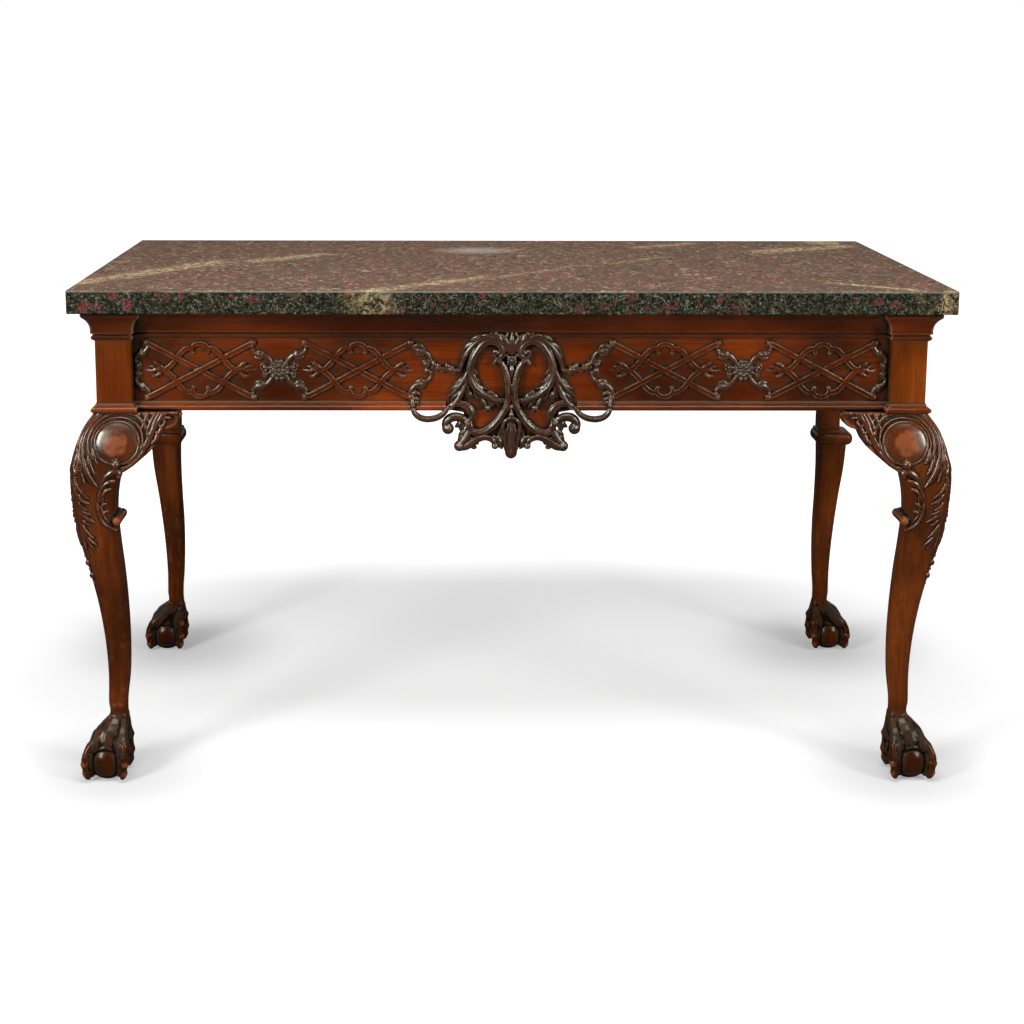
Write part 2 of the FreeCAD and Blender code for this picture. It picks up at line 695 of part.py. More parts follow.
def half_and_mirror(pieces):
    return pieces + [across(piece) for piece in pieces]


def drop_outline(depth):
    # ears, knobs, arches and tongue, sawn to shape; a negative depth runs back from the face
    tongue = ribbon([(0, -30), (0, -52), (0, -tongue_drop + tongue_width / 2)],
                    (tongue_width * 0.7, tongue_width * 0.8, tongue_width), depth)
    side = [ribbon(ear_line, ear_widths, depth), ribbon(arch_line, arch_widths, depth),
            ribbon(web_line, web_widths, depth)]
    forward = V(0, -1 if depth > 0 else 1, 0)
    for x, z, radius in knob_drop:
        side.append(Part.makeCylinder(radius, abs(depth), V(x, 0, z), forward))
    return [tongue] + half_and_mirror(side)


def apron_pendant():
    # the shaped board below the rail, carved in one piece with its eared and arched edge
    half = [V(x, 0, z) for x, z in board_line]
    other = [V(-x, 0, z) for x, z in board_line[:0:-1]]
    plain = Part.Face(Part.makePolygon(half + other + [half[0]])).extrude(V(0, apron_thickness, 0))
    hood = leaf(0, -8, 30, 17, -90, pendant_relief + 2.0)
    return fused([plain, hood] + drop_outline(-apron_thickness) + drop_outline(pendant_relief))


def on_rail_foot(shape):
    moved = shape.copy()
    moved.translate(V(0, frieze_y, frame_bottom))
    return moved


def cartouche_scrolls():
    # two great C scrolls above, and two more back to back that cross the middle
    w, relief = scroll_width, cartouche_relief
    upper = ribbon([(23, 98), (27, 112), (39, 119), (56, 111), (69, 89), (75, 68), (72, 50), (61, 35),
                    (44, 25), (26, 19), (9, 15)], (7.0, w + 3, w), relief)
    cross = ribbon([(30, 83), (20, 79), (11, 68), (4.5, 53), (3, 35), (6.5, 5), (16, -12), (31, -28),
                    (47, -37.5), (62, -39.5), (72, -33), (76, -22)], (6.0, w, w + 1), relief + 2.0)
    volute = boss(23, 96, 7.5, relief)
    small = boss(32, 83, 5.0, relief + 1.0)
    side = ribbon([(107, 8), (95, 11), (82, 11), (71, 5), (66, -5), (72, -15)], (8.0, w, 8.0),
                  relief - 3.0)
    spray = [leaf(76, 68, 58, 17, low_leaf_heading, relief - 4.0),
             leaf(74, 72, 64, 15, outer_leaf_heading, relief - 5.0)]
    return fused(half_and_mirror([upper, cross, volute, small, side] + spray))


def cartouche_crown():
    # a spray of leaves over a flower boss, rising to the cornice
    relief = cartouche_relief
    pieces = [boss(0, 87, 9.5, relief), leaf(0, 80, 33, 13, -90, relief - 3.0)]
    for heading, length in ((90, 34), (68, 36), (48, 42), (32, 50)):
        pieces.append(leaf(2, 100, length, 11, heading, relief - 2.0))
        if heading != 90:
            pieces.append(leaf(-2, 100, length, 11, 180 - heading, relief - 2.0))
    pieces.append(ribbon([(0, 88), (0, 97), (0, 106)], (12.0, 14.0, 12.0), relief - 2.0))
    return fused(pieces)


def apron_swag():
    # a hollow scroll that carries the eye from the frieze, over the moulding, to the cartouche
    pieces = [ribbon(swag_line, (8.0, 9.0, 8.0), cartouche_relief), boss(163, 24, 6.5, cartouche_relief)]
    return fused(pieces)


# ---- inside the frame

def dovetail(x, y, toward, grow):
    half = bearer_width / 2 - 10.0
    corners = [V(x - half, y, 0), V(x + half, y, 0),
               V(x + half + dovetail_flare, y + toward * dovetail_depth, 0),
               V(x - half - dovetail_flare, y + toward * dovetail_depth, 0)]
    tail = Part.Face(Part.makePolygon(corners + [corners[0]])).extrude(V(0, 0, bearer_thickness + grow))
    tail.translate(V(0, 0, frame_top - bearer_thickness))
    return tail


def bearer(x):
    front, back = rail_back_y, rear_rail_y - rail_thickness
    bar = box(x - bearer_width / 2, x + bearer_width / 2, front, back,
              frame_top - bearer_thickness, frame_top)
    return fused([bar, dovetail(x, front, -1, 0), dovetail(x, back, 1, 0)])


def glue_blocks():
    size, high = glue_block_size, glue_block_height
    low = frame_bottom + 12.0
    side_face = half_x - rail_thickness
    back_face = rear_rail_y - rail_thickness
    blocks = [box(inner_x - size, inner_x, rail_back_y, rail_back_y + size, low, low + high),
              box(side_face - size, side_face, -inner_y, -inner_y + size, low, low + high),
              box(rear_inner_x - size, rear_inner_x, back_face - size, back_face, low, low + high),
              box(side_face - size, side_face, rear_inner_y - size, rear_inner_y, low, low + high)]
    return Part.makeCompound(blocks + [across(block) for block in blocks])


# ---- assembly

def build():
    keep("marble_top", marble_slab())

    rails = {"front_rail": front_rail(), "rear_rail": rear_rail(), "side_rail_right": side_rail()}
    rails["side_rail_left"] = across(rails["side_rail_right"])
    leg_front, leg_rear = front_leg(), rear_leg()
    front_bracket = bracket(leg_front)
    keep_pair("knee_bracket_front", front_bracket)
    keep_pair("knee_bracket_side", largest(side_bracket(leg_front).cut(front_bracket)))
    mortised_front = leg_front.cut(rails["front_rail"].fuse(rails["side_rail_right"]))
    mortised_rear = leg_rear.cut(rails["rear_rail"].fuse(rails["side_rail_right"]))
    keep_pair("front_leg", mortised_front)
    keep_pair("rear_leg", mortised_rear)

    places = {"left": -bearer_spacing, "middle": 0.0, "right": bearer_spacing}
    for side, x in places.items():
        keep("cross_bearer_" + side, bearer(x))
        for name, y, toward in (("front_rail", rail_back_y, -1),
                                ("rear_rail", rear_rail_y - rail_thickness, 1)):
            rails[name] = rails[name].cut(dovetail(x, y, toward, 1.0))
    for name, rail in rails.items():
        keep(name, rail)
    keep("glue_blocks", glue_blocks())

    run_of_moulding("cornice", cornice_profile(), 0)
    run_of_moulding("base_moulding", base_profile(), gap_at_cartouche)

    unit = fret_unit(front_unit_half)
    side_unit = fret_unit(side_unit_half)
    keep_pair("fret_panel_outer", on_frieze(unit, outer_unit_x))
    keep_pair("fret_panel_inner", on_frieze(unit, inner_unit_x))
    keep_pair("rosette", on_frieze(rosette(), (outer_unit_x + inner_unit_x) / 2))
    keep_pair("end_scroll", on_frieze(across(end_scroll()), inner_x))
    for side, y in (("front", -side_unit_step), ("rear", side_unit_step)):
        keep_pair("side_fret_" + side, on_side(side_unit, y))
    keep_pair("side_rosette", on_side(rosette(), 0))

    scrolls = on_rail_foot(cartouche_scrolls())
    keep("apron_pendant", on_rail_foot(apron_pendant()).cut(scrolls))
    keep("cartouche_scrolls", scrolls)
    keep("cartouche_crown", on_rail_foot(cartouche_crown()).cut(scrolls.fuse(nodes["cornice_front"])))
    stalk = on_rail_foot(inner_scroll()).cut(scrolls.fuse(nodes["fret_panel_inner_right"]))
    fitted = [nodes["base_moulding_front_right"], nodes["fret_panel_inner_right"], stalk]
    swag = on_rail_foot(apron_swag()).cut(scrolls.fuse(fitted))
    keep_pair("inner_scroll", stalk)
    keep_pair("apron_swag", swag)


build()
os.makedirs(OUT, exist_ok=True)
for name, shape in nodes.items():
    shape.exportStep(os.path.join(OUT, name + ".step"))
    print(name, len(shape.Solids), "solid(s)", round(shape.Volume / 1000.0, 1), "cm3", shape.isValid())
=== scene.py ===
import json
import math
import bpy
import bmesh
import numpy as np
from mathutils import Matrix, Vector, kdtree

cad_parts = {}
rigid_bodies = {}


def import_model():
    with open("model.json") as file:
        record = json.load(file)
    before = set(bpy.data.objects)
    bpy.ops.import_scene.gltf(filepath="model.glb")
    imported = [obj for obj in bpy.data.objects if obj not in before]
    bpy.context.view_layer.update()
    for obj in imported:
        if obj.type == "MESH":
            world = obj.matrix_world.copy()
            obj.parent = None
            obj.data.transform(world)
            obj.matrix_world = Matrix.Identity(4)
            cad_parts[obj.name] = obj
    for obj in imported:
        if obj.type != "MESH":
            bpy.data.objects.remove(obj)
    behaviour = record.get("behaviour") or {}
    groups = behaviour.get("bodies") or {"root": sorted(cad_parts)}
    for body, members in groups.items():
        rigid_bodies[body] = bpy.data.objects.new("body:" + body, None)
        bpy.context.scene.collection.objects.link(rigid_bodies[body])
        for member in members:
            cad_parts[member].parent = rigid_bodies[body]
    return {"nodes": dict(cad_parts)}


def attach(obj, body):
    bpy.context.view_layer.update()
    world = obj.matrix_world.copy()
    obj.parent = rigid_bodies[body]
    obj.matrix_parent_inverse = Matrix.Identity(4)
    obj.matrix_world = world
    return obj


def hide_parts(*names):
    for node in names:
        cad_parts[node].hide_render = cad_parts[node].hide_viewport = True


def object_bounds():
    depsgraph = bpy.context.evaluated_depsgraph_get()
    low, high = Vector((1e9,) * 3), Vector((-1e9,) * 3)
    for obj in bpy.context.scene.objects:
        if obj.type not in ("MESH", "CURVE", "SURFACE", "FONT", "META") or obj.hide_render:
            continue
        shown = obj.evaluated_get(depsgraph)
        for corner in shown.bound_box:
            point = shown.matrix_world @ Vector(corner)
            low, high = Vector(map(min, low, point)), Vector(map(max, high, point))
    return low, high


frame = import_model()
cadLow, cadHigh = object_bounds()
mm = 0.001
print("frame loaded", len(frame["nodes"]), "nodes")


# small helpers for objects and meshes

def deselect():
    bpy.ops.object.select_all(action="DESELECT")


def choose(objects):
    deselect()
    for obj in objects:
        obj.select_set(True)
    bpy.context.view_layer.objects.active = objects[0]


def linked(name, data):
    obj = bpy.data.objects.new(name, data)
    bpy.context.scene.collection.objects.link(obj)
    return obj


def fromBmesh(name, bm):
    data = bpy.data.meshes.new(name)
    bm.to_mesh(data)
    return linked(name, data)


def readPoints(obj):
    co = np.empty(len(obj.data.vertices) * 3)
    obj.data.vertices.foreach_get("co", co)
    return co.reshape(-1, 3)


def writePoints(obj, co):
    obj.data.vertices.foreach_set("co", np.asarray(co, float).ravel())
    obj.data.update()


def readHollow(obj):
    value = np.empty(len(obj.data.vertices))
    obj.data.attributes["hollow"].data.foreach_get("value", value)
    return value


def writeHollow(obj, value):
    layers = obj.data.attributes
    layer = layers["hollow"] if "hollow" in layers else layers.new("hollow", "FLOAT", "POINT")
    layer.data.foreach_set("value", value)


# camera and light

camera = {"place": (-0.11353, -3.16763, 1.27175), "yaw": 0.54, "pitch": -9.5, "roll": 0.15,
          "lens": 60.29, "sensor": 36, "shift": (0.05, -0.18), "reach": 60}
lamps = {"topBox": {"place": (0.0, -1.2, 3.2), "size": (2.6, 0.9), "power": 27, "beam": 120},
         "leftBox": {"place": (-2.4, -2.6, 1.9), "size": (0.8, 1.5), "power": 24, "beam": 100},
         "rightBox": {"place": (2.6, -2.3, 1.8), "size": (0.8, 1.5), "power": 15, "beam": 100}}
lampAim = (0, 0, 0.5)


def addCamera():
    yaw, pitch, roll = (math.radians(camera[k]) for k in ("yaw", "pitch", "roll"))
    forward = Vector((math.sin(yaw) * math.cos(pitch), math.cos(yaw) * math.cos(pitch), math.sin(pitch)))
    right = Vector((math.cos(yaw), -math.sin(yaw), 0))
    up = right.cross(forward)
    rightRolled = right * math.cos(roll) + up * math.sin(roll)
    upRolled = up * math.cos(roll) - right * math.sin(roll)
    data = bpy.data.cameras.new("studioCamera")
    data.lens = camera["lens"]
    data.sensor_width = camera["sensor"]
    data.shift_x, data.shift_y = camera["shift"]
    data.clip_end = camera["reach"]
    obj = linked("studioCamera", data)
    turn = Matrix((rightRolled, upRolled, -forward)).transposed()
    obj.matrix_world = Matrix.Translation(Vector(camera["place"])) @ turn.to_4x4()
    bpy.context.scene.camera = obj


def addSoftbox(name, lamp):
    data = bpy.data.lights.new(name, "AREA")
    data.shape = "RECTANGLE"
    data.size, data.size_y = lamp["size"]
    data.energy = lamp["power"]
    data.spread = math.radians(lamp["beam"])
    obj = linked(name, data)
    obj.location = lamp["place"]
    obj.rotation_euler = (Vector(lampAim) - Vector(lamp["place"])).to_track_quat("-Z", "Y").to_euler()


# small helpers for node trees

def addNode(tree, kind, **settings):
    made = tree.nodes.new(kind)
    for key, value in settings.items():
        setattr(made, key, value)
    return made


def feed(tree, socket, value):
    # link an output, or set a plain value
    if isinstance(value, bpy.types.NodeSocket):
        tree.links.new(value, socket)
    elif isinstance(value, (tuple, list)) and len(value) == 3 and socket.type == "RGBA":
        socket.default_value = (*value, 1)
    else:
        socket.default_value = value


def feedAll(tree, node, values):
    for key, value in values.items():
        feed(tree, node.inputs[key], value)


def maths(tree, operation, a, b):
    made = addNode(tree, "ShaderNodeMath", operation=operation)
    feedAll(tree, made, {0: a, 1: b})
    return made.outputs[0]


def times(tree, first, *others):
    product = first
    for value in others:
        product = maths(tree, "MULTIPLY", product, value)
    return product


def vectorMaths(tree, operation, *values):
    made = addNode(tree, "ShaderNodeVectorMath", operation=operation)
    feedAll(tree, made, dict(enumerate(values)))
    return made.outputs["Value" if operation in ("LENGTH", "DISTANCE") else "Vector"]


def axes(tree, vector):
    made = addNode(tree, "ShaderNodeSeparateXYZ")
    feed(tree, made.inputs[0], vector)
    return made.outputs


def spread(tree, value, low, high, outLow=0.0, outHigh=1.0):
    # an eased step: outLow where the value is at low, outHigh where it is at high
    made = addNode(tree, "ShaderNodeMapRange", interpolation_type="SMOOTHSTEP")
    feedAll(tree, made, dict(enumerate((value, low, high, outLow, outHigh))))
    return made.outputs[0]


def blendColour(tree, factor, a, b):
    made = addNode(tree, "ShaderNodeMix", data_type="RGBA")
    feedAll(tree, made, {0: factor, 6: a, 7: b})
    return made.outputs[2]


def noise(tree, vector, scale, detail=3.0, rough=0.5, distort=0.0):
    made = addNode(tree, "ShaderNodeTexNoise")
    feedAll(tree, made, {"Vector": vector, "Scale": scale, "Detail": detail, "Roughness": rough,
                         "Distortion": distort})
    return made.outputs[0]


def stretched(tree, vector, scale, place=(0, 0, 0)):
    made = addNode(tree, "ShaderNodeMapping")
    feedAll(tree, made, {"Vector": vector, "Scale": scale, "Location": place})
    return made.outputs[0]


def addBump(tree, bsdf, height, strength, distance):
    made = addNode(tree, "ShaderNodeBump")
    feedAll(tree, made, {"Strength": strength, "Distance": distance, "Height": height})
    tree.links.new(made.outputs[0], bsdf.inputs["Normal"])


def newGroup(name, inputs, outputs):
    tree = bpy.data.node_groups.new(name, "ShaderNodeTree")
    kinds = {"number": "NodeSocketFloat", "colour": "NodeSocketColor", "vector": "NodeSocketVector"}
    for label, kind in inputs.items():
        tree.interface.new_socket(name=label, in_out="INPUT", socket_type=kinds[kind])
    for label, kind in outputs.items():
        tree.interface.new_socket(name=label, in_out="OUTPUT", socket_type=kinds[kind])
    return tree, tree.nodes.new("NodeGroupInput").outputs, tree.nodes.new("NodeGroupOutput").inputs


def useGroup(tree, group, **values):
    made = addNode(tree, "ShaderNodeGroup", node_tree=group)
    feedAll(tree, made, values)
    return made.outputs


def newMaterial(name):
    mat = bpy.data.materials.new(name)
    mat.use_nodes = True
    return mat, mat.node_tree, mat.node_tree.nodes["Principled BSDF"]


# studio

studio = {"frontFill": 0.05, "backFill": 0.24, "fillTurn": (-0.1, 0.5), "white": (1, 1, 1, 1),
          "floor": (0.62, 0.62, 0.62), "floorSize": 60, "mirrored": 0.12,
          # the floor's glow in an oval about the table: near, far, and where it changes
          "lift": 0.56, "farLift": 1.1, "oval": (0.62, 0.9, 0), "ovalPlace": (0, -0.1, 0),
          "ovalEdge": (0.52, 1.1),
          # painted shadow about the feet: the floor's glow is dimmed near each foot
          "feet": (0.69, 0.325, 0), "paintedFootShadow": 0.5, "footReach": (0.03, 0.28)}


def whiteWorld():
    world = bpy.data.worlds.new("studioWorld")
    bpy.context.scene.world = world
    world.use_nodes = True
    tree = world.node_tree
    tree.nodes.clear()
    # dark room before the table, white sweep behind it
    fill = addNode(tree, "ShaderNodeBackground")
    depth = axes(tree, addNode(tree, "ShaderNodeTexCoord").outputs["Generated"])[1]
    strength = spread(tree, depth, *studio["fillTurn"], studio["frontFill"], studio["backFill"])
    feedAll(tree, fill, {"Strength": strength, "Color": studio["white"]})
    seen = addNode(tree, "ShaderNodeBackground")
    feed(tree, seen.inputs["Color"], studio["white"])
    mix = addNode(tree, "ShaderNodeMixShader")
    cameraRay = addNode(tree, "ShaderNodeLightPath").outputs["Is Camera Ray"]
    feedAll(tree, mix, {0: cameraRay, 1: fill.outputs[0], 2: seen.outputs[0]})
    out = addNode(tree, "ShaderNodeOutputWorld")
    tree.links.new(mix.outputs[0], out.inputs["Surface"])


def studioFloor():
    deselect()
    bpy.ops.mesh.primitive_plane_add(size=studio["floorSize"], location=(0, 0, 0))
    floor = bpy.context.object
    floor.name = "studioFloor"
    mat, tree, bsdf = newMaterial("studioFloor")
    tree.nodes.remove(bsdf)
    path = addNode(tree, "ShaderNodeLightPath").outputs
    # polished wood mirrors a quieter floor than the one in view
    quiet = tuple(c * studio["mirrored"] for c in studio["floor"])
    matte = addNode(tree, "ShaderNodeBsdfDiffuse")
    feed(tree, matte.inputs["Color"], blendColour(tree, path["Is Glossy Ray"], studio["floor"], quiet))
    coords = addNode(tree, "ShaderNodeTexCoord").outputs["Object"]
    away = vectorMaths(tree, "LENGTH", stretched(tree, coords, studio["oval"], studio["ovalPlace"]))
    lift = spread(tree, away, *studio["ovalEdge"], studio["lift"], studio["farLift"])
    nearest = vectorMaths(tree, "DISTANCE", vectorMaths(tree, "ABSOLUTE", coords), studio["feet"])
    # painted shadow: the glow is dimmed within reach of each foot
    shade = spread(tree, nearest, *studio["footReach"], studio["paintedFootShadow"], 1.0)
    glow = addNode(tree, "ShaderNodeEmission")
    feed(tree, glow.inputs["Strength"], times(tree, lift, shade, path["Is Camera Ray"]))
    add = addNode(tree, "ShaderNodeAddShader")
    feedAll(tree, add, {0: matte.outputs[0], 1: glow.outputs[0]})
    tree.links.new(add.outputs[0], tree.nodes["Material Output"].inputs["Surface"])
    floor.data.materials.append(mat)


bpy.context.scene.view_settings.view_transform = "Standard"
addCamera()
whiteWorld()
studioFloor()
for name, lamp in lamps.items():
    addSoftbox(name, lamp)
print("studio ready")


# wood: each set of tones, from the grain's darkest lines to the colour of rubbed ridges, which is partly a
# painted highlight; the near-black tone is dark wax and painted shade, and the edge tone is partly a painted
# highlight

wood = {"deep": (0.022, 0.0034, 0.0007), "body": (0.150, 0.0215, 0.0022), "warm": (0.32, 0.052, 0.005),
        "darkWaxAndShade": (0.0036, 0.0027, 0.0015), "dust": (0.058, 0.052, 0.033), "wornAndPaintedLight": (0.26, 0.105, 0.045),
        "corner": 0.016, "sheen": (1.0, 0.84, 0.60), "edge": (0.26, 0.18, 0.10)}
legTones = {**wood, "deep": (0.022, 0.0052, 0.0009), "body": (0.150, 0.0265, 0.0024),
            "warm": (0.29, 0.062, 0.006), "wornAndPaintedLight": (0.40, 0.108, 0.038)}
moulded = {**wood, "corner": 0.026}
fretTones = {**wood, "corner": 0.012, "wornAndPaintedLight": (0.30, 0.20, 0.12)}
kneeTones = {**legTones, "sheen": (0.92, 1.0, 0.84), "dust": (0.044, 0.038, 0.024)}
waxed = {**wood, "deep": (0.030, 0.012, 0.005), "body": (0.130, 0.034, 0.010), "warm": (0.22, 0.060, 0.017),
         "dust": (0.035, 0.027, 0.017), "sheen": (0.86, 1.0, 0.84), "wornAndPaintedLight": (0.29, 0.17, 0.115)}
dusted = {**waxed, "body": (0.180, 0.050, 0.016), "warm": (0.28, 0.085, 0.026),
          "darkWaxAndShade": (0.013, 0.0125, 0.0085), "dust": (0.078, 0.074, 0.054), "wornAndPaintedLight": (0.34, 0.15, 0.10)}
poplar = {"deep": (0.10, 0.055, 0.022), "body": (0.26, 0.165, 0.075), "warm": (0.36, 0.25, 0.13),
          "darkWaxAndShade": (0.030, 0.019, 0.010), "dust": (0.12, 0.10, 0.07), "corner": 0.03, "sheen": (1.0, 1.0, 1.0)}

# the grain's patterns: size along and across it, then detail, roughness and distortion
grainLook = {"bands": ((2.6, 11, 11), 4.0, 0.55, 0.8), "lines": ((6, 240, 240), 3.0, 0.6, 0.2),
             "pores": ((60, 900, 900), 2.0, 0.5, 0.0), "clouds": ((5, 8, 8), 2.0, 0.5, 0.0),
             "cloudPlace": (3.1, 1.7, 0.4),
             # noise over the polish and over the wear of carving
             "polish": (14.0, 3.0, 0.6), "handling": (70.0, 3.0, 0.6)}
grainTurn = {"x": (0, 0, 0), "y": (0, 0, math.pi / 2), "z": (0, math.pi / 2, 0)}

# where each kind of wear, painted shade and painted highlight starts, where it is full and how much it covers
# then; the first two are told by how open a corner is, the others by how far a point lies below its
# surroundings in mm
# the wax stages are dark wax and painted shade; the edge and ridge stages are rubbed wear and painted
# highlight
wearAndPaintedLight = {"dust": (0.93, 0.64, 0.0, 0.62), "waxAndShade": (0.74, 0.34, 0.0, 0.95),
        "cornerNoise": (0.2, 0.8, -0.06, 0.06),
        "edge": (0.80, 0.45), "edgeNoise": (0.3, 0.7, -0.08, 0.08), "edgeReach": 0.0028,
        "hollow": (0.04, 0.42), "hollowWaxAndShade": 0.92, "slope": (0.02, 0.18), "slopeDust": 0.55,
        "ridge": (-0.30, -1.10), "ridgeRubAndHighlight": 0.5, "uneven": (0.34, 0.66, 0.45, 1.25)}
# the leg's wood below its head: darker down to the foot
ankle = {"heights": (0.085, 0.15), "shade": 0.5, "headEdge": 0.002}
varnish = {"coatRoughness": 0.12, "bump": 0.25, "bumpDistance": 0.0006, "cloudHeight": 0.6, "poreDepth": 0.3,
           "waxRoughness": 0.15, "hollowRoughness": 0.25, "hollowDull": 0.8}


def woodGrain():
    # figured mahogany: broad bands, fine grain lines and short pores along the vector's X
    tree, get, give = newGroup("woodGrain", {"Vector": "vector", "Deep": "colour", "Body": "colour",
                                             "Warm": "colour", "Figure": "number"},
                               {"Colour": "colour", "Pores": "number"})

    def pattern(key, place=(0, 0, 0)):
        scale, detail, rough, distort = grainLook[key]
        return noise(tree, stretched(tree, get["Vector"], scale, place), 1.0, detail, rough, distort)

    lines, pores = pattern("lines"), pattern("pores")
    cloudy = times(tree, spread(tree, pattern("clouds", grainLook["cloudPlace"]), 0.35, 0.7), get["Figure"])
    colour = blendColour(tree, spread(tree, pattern("bands"), 0.36, 0.66), get["Body"], get["Warm"])
    colour = blendColour(tree, times(tree, cloudy, 0.55), colour, get["Deep"])
    colour = blendColour(tree, spread(tree, lines, 0.60, 0.34, 0.0, 0.3), colour, get["Deep"])
    colour = blendColour(tree, spread(tree, pores, 0.40, 0.30, 0.0, 0.4), colour, get["Deep"])
    tree.links.new(colour, give["Colour"])
    tree.links.new(spread(tree, pores, 0.42, 0.30), give["Pores"])
    return tree


def carvingWearAndPaintedLight():
    # dark wax, painted shade and dust in the hollows, rubbed colour and painted highlight on the high ridges
    tree, get, give = newGroup("carvingWearAndPaintedLight", {"Colour": "colour", "Hollow": "number", "Dirt": "colour",
                                               "Worn": "colour", "Dust": "colour"},
                               {"Colour": "colour", "Low": "number"})
    low = spread(tree, get["Hollow"], *wearAndPaintedLight["hollow"])
    slope = spread(tree, get["Hollow"], *wearAndPaintedLight["slope"])
    high = spread(tree, get["Hollow"], *wearAndPaintedLight["ridge"])
    colour = blendColour(tree, times(tree, slope, wearAndPaintedLight["slopeDust"]), get["Colour"], get["Dust"])
    # the ridges: rubbed colour and a painted highlight
    colour = blendColour(tree, times(tree, high, wearAndPaintedLight["ridgeRubAndHighlight"]), colour, get["Worn"])
    # the hollows: dark wax and painted shade
    colour = blendColour(tree, times(tree, low, wearAndPaintedLight["hollowWaxAndShade"]), colour, get["Dirt"])
    tree.links.new(colour, give["Colour"])
    tree.links.new(low, give["Low"])
    return tree


grainGroup = woodGrain()
wearAndPaintedLightGroup = carvingWearAndPaintedLight()


def openness(tree, distance, **settings):
    made = addNode(tree, "ShaderNodeAmbientOcclusion", samples=8, **settings)
    made.inputs["Distance"].default_value = distance
    return made.outputs["AO"]


def lightHead(tree, coords, colour, head, shade):
    # above the height head the wood is as light as the rails, and towards the foot it darkens
    height = axes(tree, coords)[2]
    below = spread(tree, height, *ankle["heights"], ankle["shade"], 1.0)
    gain = spread(tree, height, head - ankle["headEdge"], head + ankle["headEdge"], below, 1.0 / shade)
    brighter = addNode(tree, "ShaderNodeVectorMath", operation="SCALE")
    feedAll(tree, brighter, {0: colour, "Scale": gain})
    return brighter.outputs[0]


def woodMaterial(name, along, figure=1.0, shade=1.0, carved=False, tones=wood, polish=(0.18, 0.32), coat=0.3,
                 gloss=0.42, head=None, relief=1.0, edged=0.0):
    # along is the axis that the grain follows, polish the least and most roughness
    mat, tree, bsdf = newMaterial(name)
    coords = addNode(tree, "ShaderNodeTexCoord").outputs["Object"]
    turned = addNode(tree, "ShaderNodeMapping")
    feedAll(tree, turned, {"Vector": coords, "Rotation": grainTurn[along]})
    tint = {key.capitalize(): tuple(c * shade for c in tones[key]) for key in ("deep", "body", "warm")}
    grain = useGroup(tree, grainGroup, Vector=turned.outputs[0], Figure=figure, **tint)
    colour = grain["Colour"]
    if head:
        colour = lightHead(tree, coords, colour, head, shade)
    cloud = noise(tree, coords, *grainLook["polish"])
    rough = spread(tree, cloud, 0.3, 0.7, *polish)
    # dust on the way into a corner, dark wax and painted shade at the bottom of it
    shut = maths(tree, "ADD", openness(tree, tones["corner"]), spread(tree, cloud, *wearAndPaintedLight["cornerNoise"]))
    waxAndPaintedShade = spread(tree, shut, *wearAndPaintedLight["waxAndShade"])
    colour = blendColour(tree, spread(tree, shut, *wearAndPaintedLight["dust"]), colour, tones["dust"])
    colour = blendColour(tree, waxAndPaintedShade, colour, tones["darkWaxAndShade"])
    rough = maths(tree, "ADD", rough, times(tree, waxAndPaintedShade, varnish["waxRoughness"]))
    if edged:
        # pale along the sharp edges: polish rubbed through, and a painted highlight
        thin = openness(tree, wearAndPaintedLight["edgeReach"], inside=True, only_local=True)
        thin = maths(tree, "ADD", thin, spread(tree, cloud, *wearAndPaintedLight["edgeNoise"]))
        colour = blendColour(tree, spread(tree, thin, *wearAndPaintedLight["edge"], 0.0, edged), colour, tones["edge"])
    if carved:
        hollow = addNode(tree, "ShaderNodeAttribute", attribute_name="hollow").outputs["Fac"]
        uneven = spread(tree, noise(tree, coords, *grainLook["handling"]), *wearAndPaintedLight["uneven"])
        wornAndPaintedLight = useGroup(tree, wearAndPaintedLightGroup, Colour=colour, Hollow=times(tree, hollow, uneven, relief),
                        Dirt=wood["darkWaxAndShade"], Worn=tones["wornAndPaintedLight"], Dust=tones["dust"])
        colour = wornAndPaintedLight["Colour"]
        rough = maths(tree, "ADD", rough, times(tree, wornAndPaintedLight["Low"], varnish["hollowRoughness"]))
        waxAndPaintedShade = maths(tree, "MAXIMUM", waxAndPaintedShade, times(tree, wornAndPaintedLight["Low"], varnish["hollowDull"]))
    feedAll(tree, bsdf, {"Base Color": colour, "Roughness": rough, "Specular Tint": tones["sheen"],
                         "Specular IOR Level": times(tree, maths(tree, "SUBTRACT", 1.0, waxAndPaintedShade), gloss),
                         "Coat Weight": coat, "Coat Roughness": varnish["coatRoughness"]})
    height = maths(tree, "SUBTRACT", times(tree, cloud, varnish["cloudHeight"]),
                   times(tree, grain["Pores"], varnish["poreDepth"]))
    addBump(tree, bsdf, height, varnish["bump"], varnish["bumpDistance"])
    return mat


# the marble slab

